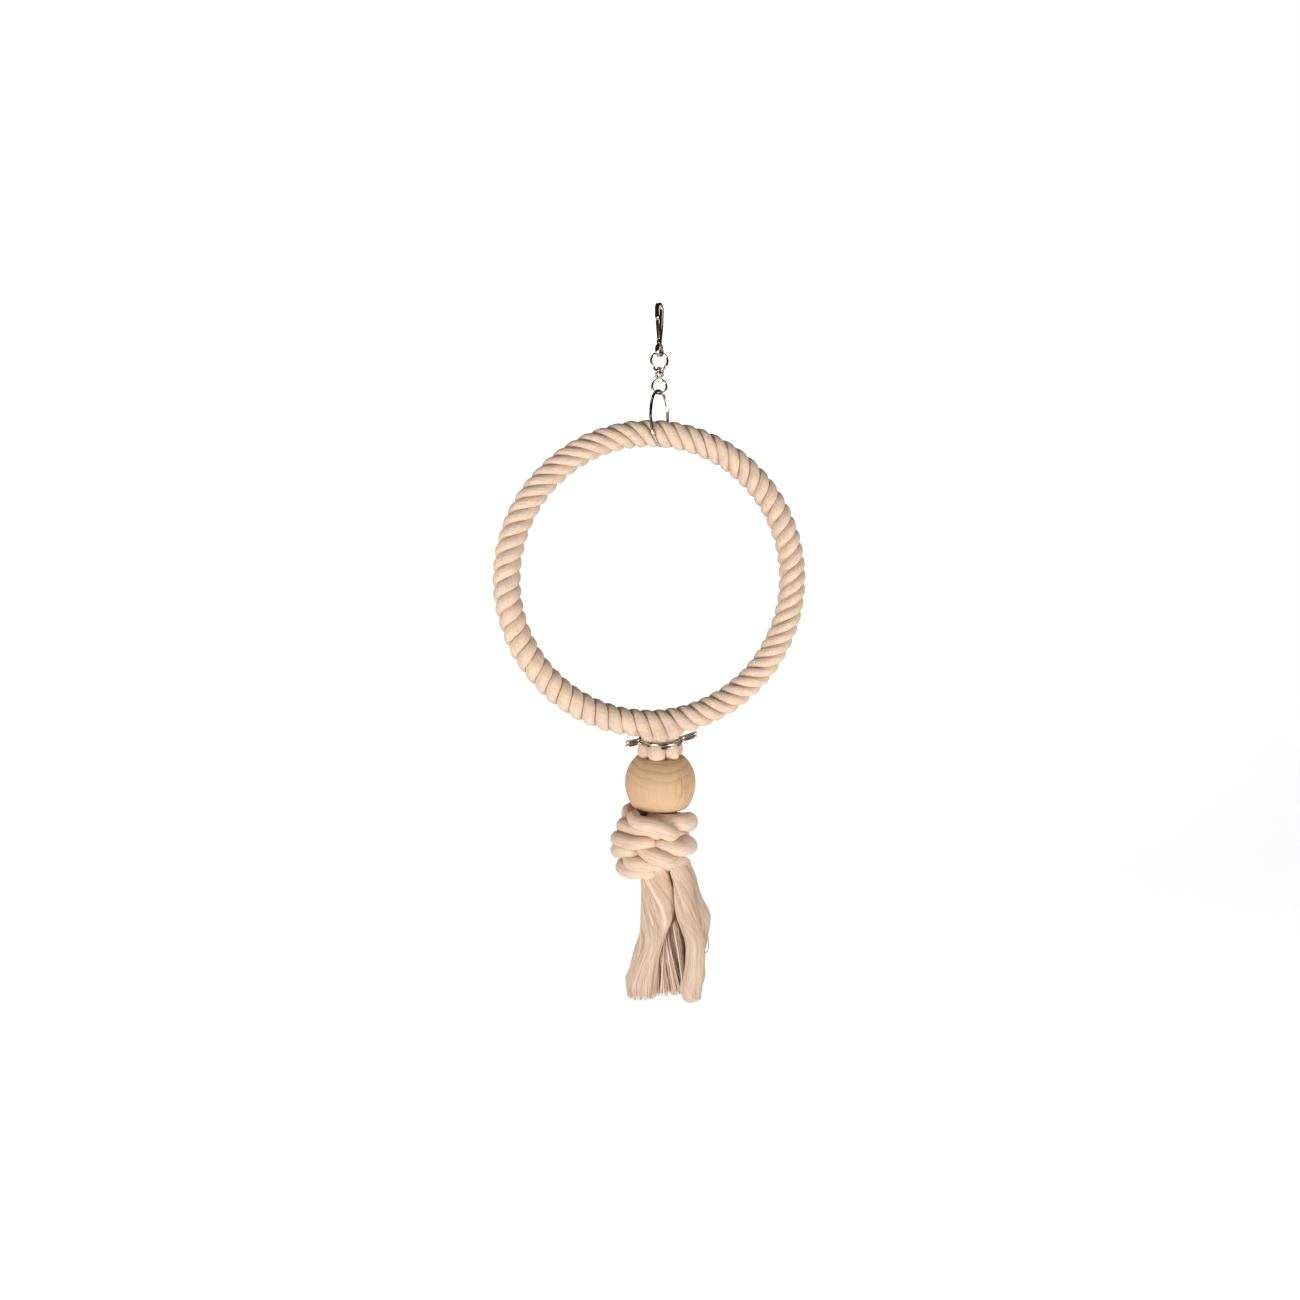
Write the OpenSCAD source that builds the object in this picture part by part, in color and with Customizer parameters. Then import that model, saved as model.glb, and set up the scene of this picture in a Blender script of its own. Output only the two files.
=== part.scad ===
// Hanging rope ring perch for small birds: spring snap hook, wire swivel, wire hanger,
// a ring of three-strand laid rope over a steel hoop, wire binding, wooden bead, knot and tassel.
// Millimetres, +Z up, origin at the centre of the hook's crook, where a cage bar sits.

/* [Snap hook] */
// Inner radius of the crook that goes over the cage bar
crook_inner_r = 3.6; // [3.4:0.1:4.5]
// Thickness of the hook's bent strip
strip_t = 1.7; // [1.4:0.1:2]
// Width of the hook's bent strip
strip_w = 3; // [2.6:0.1:3.6]
// Length of the straight nose below the crook's centre
nose_drop = 7.2; // [6:0.1:8]
// Drop from the crook's centre to the top of the pinch
pinch_drop = 24.4; // [23:0.1:27]
// Length of the pinch, where the strip meets its own end
pinch_len = 5; // [4.6:0.1:6]
// Inner radius of the hook's lower eye
hook_eye_r = 3.5; // [3.2:0.1:4]
// Thickness of the leaf spring gate
gate_t = 0.8; // [0.6:0.05:0.9]
// Width of the leaf spring gate
gate_w = 2.6; // [2:0.1:2.6]
// Radius of the rivet through the pinch
rivet_r = 0.7; // [0.6:0.05:0.8]
// Radius of the rivet's domed heads
rivet_head_r = 1.2; // [1:0.05:1.25]

/* [Swivel] */
// Diameter of the swivel's wire
swivel_wire = 2; // [1.8:0.05:2.1]
// Outer radius of the swivel's upper eye
upper_eye_r = 7.65; // [7.2:0.05:8.5]
// Outer radius of the swivel's lower eye
lower_eye_r = 6.75; // [6.4:0.05:7.5]
// Radius of the stem that turns inside the coil
stem_r = 1.5; // [1.3:0.05:1.6]
// Radius of the stem's domed head
stem_head_r = 2.4; // [2.3:0.05:2.8]
// Height of the stem's domed head
stem_head_h = 1.8; // [1.4:0.1:2]
// Rise of the coil in one turn round the stem
coil_pitch = 2.5; // [2.48:0.02:2.7]

/* [Hanger] */
// Diameter of the hanger's wire
hanger_wire = 2.4; // [2.2:0.1:2.6]
// Height of the hanger's oval crown, from its top to where its legs hang straight
hanger_crown = 20; // [17:0.5:22]
// Drop from the lower eye's wire to the centre of the rope
hanger_drop = 32; // [31:0.5:38]

/* [Rope ring] */
// Radius of the ring, to the centre of the rope
ring_r = 116; // [95:1:125]
// Radius of the laid rope
rope_r = 11; // [10.5:0.1:11.3]
// Radius of the rounded back of each strand
strand_back_r = 6.3; // [6.1:0.05:6.5]
// Radius of the steel hoop inside the rope
hoop_r = 2.5; // [2:0.1:2.7]
// Turns that each strand makes on its way round the ring
lay_turns = 22; // [21:1:24]
// How far the ring's centre hangs left of the hook
ring_shift = 5; // [3:0.5:6]

/* [Binding and bead] */
// Diameter of the binding wire
binding_wire = 2.2; // [2:0.1:2.3]
// Rise between the binding's two turns
binding_pitch = 2.7; // [2.7:0.05:2.9]
// Reach of the left crimped ear from the neck's axis
ear_left = 27; // [25:0.5:29]
// Reach of the right crimped ear from the neck's axis
ear_right = 29; // [27:0.5:31]
// How far the right ear bends up
ear_lift = 3.5; // [0:0.5:4]
// Largest radius of the wooden bead
bead_r = 28.3; // [26:0.1:31]
// Radius of the bead's flat top
bead_top_r = 19; // [17.5:0.1:20]
// Radius of the bead's flat underside
bead_foot_r = 21.9; // [19:0.1:23]
// Height of the bead above its widest line
bead_upper_h = 20.5; // [18:0.1:23]
// Height of the bead below its widest line
bead_lower_h = 19.5; // [17:0.1:22]
// Radius of the bead's drilled bore
bead_bore_r = 15; // [14.9:0.05:15.5]
// Rounding of the bead's edges, cut as a bevel
bead_bevel = 1.2; // [0.8:0.1:1.6]
// Length of bare neck between the binding and the bead
neck_show = 10.1; // [9:0.1:13]
// How far the neck bulges out above the bead
neck_bulge = 2.4; // [1:0.1:2.6]
// How far the neck's axis stands right of the hook
neck_shift = 0.8; // [0:0.1:1.5]

/* [Knot and tassel] */
// Radius of each rope strand in the neck and the knot
strand_r = 4.7; // [4.5:0.05:4.75]
// Distance of the neck's six strands from the neck's axis
neck_r = 10; // [9.9:0.05:10.1]
// Distance of the knot's turns from the knot's axis
knot_r = 28; // [26:0.5:30]
// Height over which one knot strand would make a full turn
knot_pitch = 65; // [64:0.5:68]
// Height of the knot, between the first and last turn's centres
knot_drop = 42; // [38:1:50]
// How far the knot's axis lies left of the bead's axis
knot_shift = 4.3; // [0:0.1:5]
// Distance of the tassel's bundles from its axis at the upper end
tassel_root = 14; // [13:0.5:15]
// Length of the tassel below the knot
tassel_len = 88; // [70:1:120]
// Radius of a tassel bundle at its lower end
tassel_r = 10; // [8:0.5:11]
// Distance of the tassel's bundles from its axis at the lower end
tassel_spread = 21.5; // [20:0.5:24]
// How far the tassel's lower end drifts to the right
tassel_drift = 9; // [0:0.5:12]

/* [Hidden] */

// Clearances and the overrun of cuts
seat_gap = 0.3;
hoop_clear = 1;
link_gap = 0.85;
rivet_gap = 0.03;
overrun = 1;

// Angles of the standing object: turn of the hook's plane and of the hanger's plane from XZ
hook_turn = 55;
hanger_turn = 54;

// Counts
strand_count = 3;
tail_count = 6;
lay_steps = 8;
wire_sides = 8;
coil_sides = 6;
tail_sides = 8;

// Heights, from the hook downwards
crook_outer_r = crook_inner_r + strip_t;
hook_eye_z = -(pinch_drop + pinch_len + hook_eye_r);
hook_foot_z = hook_eye_z - hook_eye_r;
swivel_wire_r = swivel_wire / 2;
upper_wire_z = hook_foot_z + link_gap + swivel_wire_r;
upper_eye_mid_r = upper_eye_r - swivel_wire_r;
upper_eye_z = upper_wire_z - upper_eye_mid_r;
coil_mid_r = stem_r + seat_gap + swivel_wire_r;
coil_turns = 2;
coil_top_z = upper_eye_z - upper_eye_r;
coil_foot_z = coil_top_z - coil_turns * coil_pitch;
lower_eye_mid_r = lower_eye_r - swivel_wire_r;
lower_eye_z = coil_foot_z - swivel_wire_r - seat_gap - lower_eye_r;
lower_wire_z = lower_eye_z - lower_eye_mid_r;
hanger_wire_r = hanger_wire / 2;
hanger_top_z = lower_wire_z + swivel_wire_r + seat_gap + hanger_wire_r;
ring_z = lower_wire_z - hanger_drop - ring_r;
rope_top_z = ring_z + ring_r + rope_r;
rope_foot_z = ring_z - ring_r;
binding_wire_r = binding_wire / 2;
binding_z = rope_foot_z - rope_r - seat_gap - binding_wire_r - binding_pitch / 2;
bead_top_z = binding_z - binding_pitch / 2 - binding_wire_r - neck_show;
bead_mid_z = bead_top_z - bead_upper_h;
bead_foot_z = bead_mid_z - bead_lower_h;
knot_top_z = bead_foot_z - seat_gap - strand_r;
knot_foot_z = knot_top_z - knot_drop;

// General sweep: a closed or open row of equal rings becomes one skin of triangles.
// A lean of 1 or 0 for each side picks the diagonal of that side's quads.
module skin(rings, leans, closed = false) {
    n = len(rings[0]);
    m = len(rings);
    last = closed ? m - 1 : m - 2;
    points = [for (ring = rings) each ring];
    sides = [
        for (i = [0:last], j = [0:n - 1])
        let (
            a = i * n + j,
            b = i * n + (j + 1) % n,
            c = ((i + 1) % m) * n + (j + 1) % n,
            d = ((i + 1) % m) * n + j
        )
        each leans[j] == 1 ? [[a, b, c], [a, c, d]] : [[a, b, d], [b, c, d]]
    ];
    first_cap = [for (j = [1:n - 2]) [0, j + 1, j]];
    last_cap = [for (j = [1:n - 2]) [(m - 1) * n, (m - 1) * n + j, (m - 1) * n + j + 1]];
    polyhedron(points, closed ? sides : concat(sides, first_cap, last_cap));
}

function unit(v) = v / norm(v);
function along(path, i) =
    unit(path[min(i + 1, len(path) - 1)] - path[max(i - 1, 0)]);
function square_to(v, t) = unit(v - (v * t) * t);
// Directions across a path that turn no more than the path itself does
function across(path, start) = [
    for (
        i = 0, v = square_to(start, along(path, 0));
        i < len(path);
        i = i + 1,
        v = i < len(path) ? square_to(v, along(path, i)) : v
    ) v
];

// Round tube of changing radius along a path
module tube(path, radii, sides, start) {
    firsts = across(path, start);
    rings = [
        for (i = [0:len(path) - 1])
        let (t = along(path, i), u = firsts[i], v = cross(t, u))
        [for (j = [0:sides - 1])
            let (a = -360 * j / sides)
            path[i] + radii[i] * (cos(a) * u + sin(a) * v)]
    ];
    skin(rings, [for (j = [0:sides - 1]) 1]);
}

// Smooth line through chosen points, with a few steps between each pair
function bend(p0, p1, p2, p3, s) =
    0.5 * (2 * p1 + (p2 - p0) * s + (2 * p0 - 5 * p1 + 4 * p2 - p3) * s * s
        + (3 * p1 - p0 - 3 * p2 + p3) * s * s * s);
function smooth(pts, steps) = concat(
    [
        for (i = [0:len(pts) - 2], k = [0:steps - 1])
        bend(
            pts[max(i - 1, 0)], pts[i], pts[i + 1],
            pts[min(i + 2, len(pts) - 1)], k / steps
        )
    ],
    [pts[len(pts) - 1]]
);

// Least distance between turns of a wound wire, centre to centre, past the given reach
function least_gap(path, wire, reach) = min([
    for (i = [0:len(path) - 1], j = [i + 1:len(path) - 1])
    let (run = abs(j - i))
    if (run > reach) norm(path[i] - path[j]) - wire
]);

// Flat strip of even thickness along a line, as an outline
function ribbon(pts, t) =
    let (
        dirs = [for (i = [0:len(pts) - 1]) along(pts, i)],
        right = [for (i = [0:len(pts) - 1]) pts[i] + t / 2 * [dirs[i].y, -dirs[i].x]],
        left = [for (i = [len(pts) - 1:-1:0]) pts[i] + t / 2 * [-dirs[i].y, dirs[i].x]]
    )
    concat(right, left);

// Snap hook
crook_mid_r = crook_inner_r + strip_t / 2;
spine_shares = [[1, 0], [0.98, 0.24], [0.82, 0.55], [0.42, 0.88]];
spine_line = concat(
    [for (s = spine_shares) [crook_mid_r * s[0], -pinch_drop * s[1]]],
    [[strip_t / 2, -pinch_drop - strip_t / 2], [strip_t / 2, -pinch_drop - pinch_len]]
);
gate_line = [
    [gate_t / 2 - strip_t, gate_t / 2 + seat_gap - pinch_drop],
    [gate_t / 2 - crook_mid_r, -nose_drop - 2 * strip_t],
    [gate_t / 2 + seat_gap - crook_inner_r, -nose_drop - strip_t / 2],
    [gate_t / 2 + seat_gap - crook_inner_r, -nose_drop + strip_t]
];

module in_hook_plane(width) {
    rotate([90, 0, hook_turn])
        linear_extrude(height = width, center = true)
            children();
}

module hook_outline() {
    // Crook
    intersection() {
        difference() {
            circle(r = crook_outer_r, $fn = 72);
            circle(r = crook_inner_r, $fn = 72);
        }
        translate([-crook_outer_r, 0])
            square([2 * crook_outer_r, crook_outer_r]);
    }
    // Nose, with its rounded end
    translate([-crook_outer_r, -nose_drop])
        square([strip_t, nose_drop]);
    translate([-crook_mid_r, -nose_drop])
        circle(r = strip_t / 2, $fn = 32);
    // Spine, pinch and lower eye
    polygon(ribbon(spine_line, strip_t));
    translate([-strip_t, -pinch_drop - pinch_len])
        square([2 * strip_t, pinch_len]);
    translate([0, hook_eye_z])
        difference() {
            circle(r = hook_eye_r + strip_t, $fn = 72);
            circle(r = hook_eye_r, $fn = 72);
        }
}

rivet_share = 0.42;
rivet_z = -pinch_drop - pinch_len * rivet_share;

module hook_body() {
    color("gainsboro")
        difference() {
            in_hook_plane(strip_w)
                hook_outline();
            rotate([0, 0, hook_turn])
                translate([0, 0, rivet_z])
                    rotate([0, 90, 0])
                        cylinder(
                            r = rivet_r + rivet_gap,
                            h = 2 * strip_t + 2 * overrun,
                            center = true,
                            $fn = 32
                        );
        }
}

module hook_gate() {
    color("silver")
        in_hook_plane(gate_w) {
            polygon(ribbon(gate_line, gate_t));
            for (end = [gate_line[0], gate_line[len(gate_line) - 1]])
                translate(end)
                    circle(r = gate_t / 2, $fn = 32);
        }
}

rivet_head_h = rivet_r;

module gate_rivet() {
    color("silver")
        rotate([0, 0, hook_turn])
            translate([0, 0, rivet_z])
                rotate([0, 90, 0])
                    rotate_extrude($fn = 48)
                        rivet_outline();
}

module rivet_outline() {
    shank = strip_t + rivet_gap;
    translate([0, -shank - rivet_head_h])
        square([rivet_r, 2 * (shank + rivet_head_h)]);
    for (side = [0, 1])
        mirror([0, side])
            translate([0, shank])
                intersection() {
                    circle(r = rivet_head_r, $fn = 48);
                    square([rivet_head_r, rivet_head_h]);
                }
}

// Swivel: the upper eye's wire goes round the eye and then winds down round the stem
eye_steps = 26;
coil_steps = 14;
coil_line = [
    for (i = [0:coil_turns * coil_steps])
    let (a = 180 + 360 * i / coil_steps)
    [coil_mid_r * cos(a), coil_mid_r * sin(a), coil_top_z - coil_pitch * i / coil_steps]
];
eye_sweep = 282;
eye_lean_share = 0.4;
eye_line = [
    for (i = [0:eye_steps])
    let (a = 270 + (360 - eye_sweep) / 2 + eye_sweep * i / eye_steps)
    [
        upper_eye_mid_r * cos(a),
        swivel_wire_r * (i / eye_steps - 0.5) * eye_lean_share,
        upper_eye_z + upper_eye_mid_r * sin(a)
    ]
];
shoulder_x = stem_head_r + 2 * seat_gap + swivel_wire_r;
swivel_line = concat(
    [[shoulder_x, 0, coil_top_z + swivel_wire_r]],
    eye_line,
    [[-shoulder_x, 0, coil_top_z + swivel_wire_r]],
    [for (i = [1:len(coil_line) - 1]) coil_line[i]]
);
echo(swivel_coil_least_gap = least_gap(coil_line, swivel_wire, coil_steps / 2));

module upper_eye() {
    color("gainsboro")
        tube(
            swivel_line,
            [for (p = swivel_line) swivel_wire_r],
            wire_sides,
            [0, 1, 0]
        );
}

module lower_eye() {
    stem_top_z = coil_top_z + swivel_wire_r + seat_gap;
    color("gainsboro") {
        translate([0, 0, lower_eye_z])
            rotate([90, 0, 0])
                rotate_extrude($fn = 96)
                    translate([lower_eye_mid_r, 0])
                        circle(r = swivel_wire_r, $fn = 40);
        translate([0, 0, lower_eye_z + lower_eye_mid_r])
            cylinder(r = stem_r, h = stem_top_z - lower_eye_z - lower_eye_mid_r, $fn = 48);
        // Domed head: the cap of a ball that has the head's radius at its foot
        head_ball_r = (stem_head_r * stem_head_r + stem_head_h * stem_head_h)
            / (2 * stem_head_h);
        translate([0, 0, stem_top_z])
            rotate_extrude($fn = 72)
                intersection() {
                    translate([0, stem_head_h - head_ball_r])
                        circle(r = head_ball_r, $fn = 96);
                    square([stem_head_r, stem_head_h]);
                }
    }
}

// Rope ring: a place on the rope is an angle round the ring, a distance from the rope's
// centre and an angle round the rope, where 0 faces outwards and 180 faces inwards
function on_rope(ring_a, r, rope_a) = [
    -ring_shift + (ring_r + r * cos(rope_a)) * cos(ring_a),
    r * sin(rope_a),
    ring_z + (ring_r + r * cos(rope_a)) * sin(ring_a)
];

// The groove under the hanger faces inwards where the hanger hangs
groove_ring_a = 90 - asin(ring_shift / (ring_r - rope_r));
function groove_a(ring_a) = 180 + lay_turns * (ring_a - groove_ring_a);

// One strand's cut: a wedge with a round back and a hollow for the hoop
third_a = 180 / strand_count;
strand_back_c = rope_r - strand_back_r;
hoop_seat_r = hoop_r + hoop_clear;
function back_r(a) =
    strand_back_c * cos(a)
    + sqrt(pow(strand_back_r, 2) - pow(strand_back_c * sin(a), 2));
function side_a(r) = third_a - asin(seat_gap / 2 / r);
valley_r = back_r(third_a);
shoulder_a = third_a / 2;
strand_cut = [
    [hoop_seat_r, 0],
    [hoop_seat_r, side_a(hoop_seat_r)],
    [valley_r, side_a(valley_r)],
    [back_r(shoulder_a), shoulder_a],
    [back_r(0), 0],
    [back_r(shoulder_a), -shoulder_a],
    [valley_r, -side_a(valley_r)],
    [hoop_seat_r, -side_a(hoop_seat_r)]
];
strand_leans = [0, 1, 1, 1, 1, 1, 0, 0];

module ring_strand(k) {
    color("bisque")
        skin(
            [
                for (i = [0:lay_turns * lay_steps - 1])
                let (ring_a = 360 * i / (lay_turns * lay_steps))
                [
                    for (p = strand_cut)
                    on_rope(
                        ring_a,
                        p[0],
                        groove_a(ring_a) + third_a + 2 * third_a * k + p[1]
                    )
                ]
            ],
            strand_leans,
            true
        );
}

module ring_strand_1() { ring_strand(0); }
module ring_strand_2() { ring_strand(1); }
module ring_strand_3() { ring_strand(2); }

module core_ring() {
    color("slategray")
        translate([-ring_shift, 0, ring_z])
            rotate([90, 0, 0])
                rotate_extrude($fn = 180)
                    translate([ring_r, 0])
                        circle(r = hoop_r, $fn = 40);
}

// Hanger: a bend over the lower eye's wire, two legs, and a seat in the rope's groove
groove_seat_r = valley_r + hanger_wire_r + 3 * seat_gap;
leg_out = rope_r + hanger_wire_r + 2 * seat_gap;
hanger_dir = [cos(hanger_turn), sin(hanger_turn), 0];
crown_steps = 6;
function crown_point(s) =
    leg_out / sin(hanger_turn) * sin(90 * s) * hanger_dir
    + [0, 0, hanger_top_z - hanger_crown * (1 - cos(90 * s))];
function leg_point(side) =
    leg_out / sin(hanger_turn) * side * hanger_dir + [0, 0, rope_top_z];
// Round the rope's inner side the wire lies in the groove, and rises out of it at both legs
seat_a = 40;
groove_steps = 6;
function groove_point(s) =
    let (
        turn = 90 * s,
        ring_a = groove_ring_a + turn / lay_turns,
        out = pow(max(0, abs(turn) - seat_a) / (90 - seat_a), 2)
    )
    on_rope(
        ring_a,
        groove_seat_r + (leg_out - groove_seat_r) * out,
        groove_a(ring_a)
    );
hanger_line = smooth(
    concat(
        [for (i = [0:crown_steps]) crown_point(i / crown_steps)],
        [leg_point(1)],
        [for (i = [-groove_steps:groove_steps]) groove_point(i / groove_steps)],
        [leg_point(-1)],
        [for (i = [-crown_steps:-1]) crown_point(i / crown_steps)]
    ),
    2
);

module hanger_loop() {
    color("gainsboro") {
        rings = loop_rings(hanger_line, hanger_wire_r, wire_sides);
        skin(rings, [for (j = [0:wire_sides - 1]) 1], true);
    }
}

// Rings of a closed round loop, each square to the loop's own run
function loop_rings(path, r, sides) =
    let (n = len(path))
    [
        for (i = [0:n - 1])
        let (
            t = unit(path[(i + 1) % n] - path[(i + n - 1) % n]),
            u = square_to(cross(hanger_dir, [0, 0, 1]), t),
            v = cross(t, u)
        )
        [for (j = [0:sides - 1])
            let (a = -360 * j / sides)
            path[i] + r * (cos(a) * u + sin(a) * v)]
    ];

// Binding: two turns of one wire round the neck, crimped into an ear on each side
binding_r = neck_r + strand_r + 2 * seat_gap + binding_wire_r;
ear_half = binding_wire_r + seat_gap;
ear_root = binding_r + ear_half;
function ear_rise(x) = ear_lift * max(0, x - binding_r) / (ear_right - binding_r);
binding_turn = concat(
    [for (a = [200:20:340]) binding_r * [cos(a), sin(a)]],
    [
        [ear_root, -ear_half], [ear_right - ear_half, -ear_half], [ear_right, 0],
        [ear_right - ear_half, ear_half], [ear_root, ear_half]
    ],
    [for (a = [20:20:160]) binding_r * [cos(a), sin(a)]],
    [
        [-ear_root, ear_half], [-ear_left + ear_half, ear_half], [-ear_left, 0],
        [-ear_left + ear_half, -ear_half], [-ear_root, -ear_half]
    ]
);
binding_steps = len(binding_turn);
// The wire steps down from its first turn to its second behind the neck, where it also ends
step_half = 3;
back_step = 16;
function turn_level(i) = max(-1, min(1, (binding_steps - i) / step_half));
binding_line = [
    for (i = [step_half:2 * binding_steps - step_half])
    let (p = binding_turn[(i + back_step) % binding_steps])
    [
        neck_shift + p.x,
        p.y,
        binding_z + ear_rise(p.x) + binding_pitch / 2 * turn_level(i)
    ]
];
echo(binding_least_gap = least_gap(binding_line, binding_wire, binding_steps / 2));

module binding_ring() {
    color("gainsboro")
        tube(
            binding_line,
            [for (p = binding_line) binding_wire_r],
            coil_sides,
            [0, 0, 1]
        );
}

// Bead: two arcs that meet at the widest line, between two flat faces
function arc_c(face_r, h) =
    (pow(bead_r, 2) - pow(face_r, 2) - pow(h, 2)) / (2 * (bead_r - face_r));

module bead_half(face_r, h) {
    c = arc_c(face_r, h);
    difference() {
        intersection() {
            translate([c, 0])
                circle(r = bead_r - c, $fn = 180);
            square([bead_r, h]);
        }
        // Bevel between the flat face and the side
        translate([face_r, h])
            rotate(45)
                square([2 * bead_bevel, bead_bevel], center = true);
        square([bead_bore_r, h]);
        translate([bead_bore_r, h])
            rotate(45)
                square([bead_bevel, bead_bevel], center = true);
    }
}

module wooden_bead() {
    color("burlywood")
        translate([neck_shift, 0, bead_mid_z])
            rotate_extrude($fn = 180) {
                bead_half(bead_top_r, bead_upper_h);
                mirror([0, 1])
                    bead_half(bead_foot_r, bead_lower_h);
            }
}

// Knot: the six strands of the two rope ends come through the bead side by side, swing out
// and lie round the knot one above the other, then turn in again and fray into the tassel
knot_x = neck_shift - knot_shift;
tail_step_a = 360 / tail_count;
function about(x, r, a, z) = [x + r * cos(a), r * sin(a), z];

// Above the binding each strand ends against the underside of the rope
tip_girth_share = 0.68;
function tip_z(base_a) =
    let (in_y = max(0, abs(neck_r * sin(base_a)) - strand_r * tip_girth_share))
    rope_foot_z - sqrt(pow(rope_r + seat_gap, 2) - pow(in_y, 2));

swing_a = 36;
swing_root = neck_r + strand_r / 4;
swing_lift_share = 0.33;
swing_shares = [0.1, 0.3, 0.58];
bulge_shares = [0.52, 0.35];
wrap_a = 360 * knot_drop / knot_pitch;
wrap_steps = 11;
function wrap_point(base_a, s) =
    about(knot_x, knot_r, base_a + swing_a + wrap_a * s, knot_top_z - knot_drop * s);

function tail_line(k) =
    let (base_a = tail_step_a * (k + 0.5))
    concat(
        [
            about(neck_shift, neck_r, base_a, tip_z(base_a)),
            about(neck_shift, neck_r, base_a, binding_z),
            about(neck_shift, neck_r, base_a, binding_z - binding_pitch)
        ],
        [
            for (s = bulge_shares)
            about(neck_shift, neck_r + neck_bulge, base_a, bead_top_z + neck_show * s)
        ],
        [
            about(neck_shift, neck_r, base_a, bead_top_z),
            about(neck_shift, neck_r, base_a, bead_foot_z),
            about(
                neck_shift,
                swing_root,
                base_a + swing_a * swing_shares[0],
                knot_top_z + strand_r * swing_lift_share
            )
        ],
        [
            for (s = [swing_shares[1], swing_shares[2]])
            about(
                neck_shift - knot_shift * s,
                swing_root + (knot_r - swing_root) * s,
                base_a + swing_a * (swing_shares[0] + (1 - 2 * swing_shares[0]) * s),
                knot_top_z
            )
        ],
        [for (i = [0:wrap_steps]) wrap_point(base_a, i / wrap_steps)],
        [
            for (s = turn_in_shares)
            about(
                knot_x,
                knot_r - (knot_r - tassel_root) * s,
                base_a + swing_a + wrap_a + swing_a * s,
                knot_foot_z - strand_r * turn_in_dip_share * s
            )
        ],
        [
            for (s = root_drop_shares)
            about(knot_x, tassel_root, base_a + 2 * swing_a + wrap_a, knot_foot_z - strand_r * s)
        ]
    );
turn_in_shares = [0.4, 0.75];
turn_in_dip_share = 0.3;
root_drop_shares = [0.6, 1.7];
top_girth_shares = [tip_girth_share, 1, 1, 1.16, 1.16, 1, 1, 0.92, 0.88, 0.82];
foot_girth_shares = [0.92, 0.92, 1, 1];
tail_radii = strand_r * concat(
    top_girth_shares,
    [for (i = [0:wrap_steps]) 1],
    foot_girth_shares
);

module knot_strand(k) {
    color("bisque")
        tube(tail_line(k), tail_radii, tail_sides, [1, 0, 0]);
}

module knot_strand_1() { knot_strand(0); }
module knot_strand_2() { knot_strand(1); }
module knot_strand_3() { knot_strand(2); }
module knot_strand_4() { knot_strand(3); }
module knot_strand_5() { knot_strand(4); }
module knot_strand_6() { knot_strand(5); }

core_half = (knot_drop - 2 * strand_r) / 2 - seat_gap - strand_r / 2;
core_r = knot_r * cos(wrap_a / wrap_steps / 2) - strand_r * max(top_girth_shares) - seat_gap;

module knot_core() {
    color("wheat")
        translate([knot_x, 0, (knot_top_z + knot_foot_z) / 2])
            rotate_extrude($fn = 96)
                intersection() {
                    translate([core_r - core_half * 2, 0])
                        circle(r = core_half * 2, $fn = 120);
                    translate([0, -core_half])
                        square([core_r, 2 * core_half]);
                }
}

// Tassel: each strand's yarns, loosened below the knot
tassel_shares = [
    [0, 0, 0], [0.03, 0, 0.2], [0.12, 0.1, 0.42], [0.35, 0.5, 0.65], [0.65, 0.85, 0.85],
    [0.92, 1, 1], [1, 0.97, 0.97]
];
function tassel_line(k) =
    let (
        base_a = tail_step_a * (k + 0.5) + 2 * swing_a + wrap_a,
        top_z = knot_foot_z - strand_r * root_drop_shares[1] - seat_gap
    )
    [
        for (s = tassel_shares)
        about(
            knot_x + tassel_drift * s[1],
            tassel_root + (tassel_spread - tassel_root) * s[1],
            base_a,
            top_z - tassel_len * s[0]
        )
    ];
tassel_radii = [
    for (s = tassel_shares) strand_r + (tassel_r - strand_r) * s[2]
];

module tassel_bundle(k) {
    color("bisque")
        tube(tassel_line(k), tassel_radii, tail_sides, [1, 0, 0]);
}

module tassel_bundle_1() { tassel_bundle(0); }
module tassel_bundle_2() { tassel_bundle(1); }
module tassel_bundle_3() { tassel_bundle(2); }
module tassel_bundle_4() { tassel_bundle(3); }
module tassel_bundle_5() { tassel_bundle(4); }
module tassel_bundle_6() { tassel_bundle(5); }

hook_body();
hook_gate();
gate_rivet();
upper_eye();
lower_eye();
hanger_loop();
core_ring();
ring_strand_1();
ring_strand_2();
ring_strand_3();
binding_ring();
wooden_bead();
knot_core();
knot_strand_1();
knot_strand_2();
knot_strand_3();
knot_strand_4();
knot_strand_5();
knot_strand_6();
tassel_bundle_1();
tassel_bundle_2();
tassel_bundle_3();
tassel_bundle_4();
tassel_bundle_5();
tassel_bundle_6();
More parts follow.
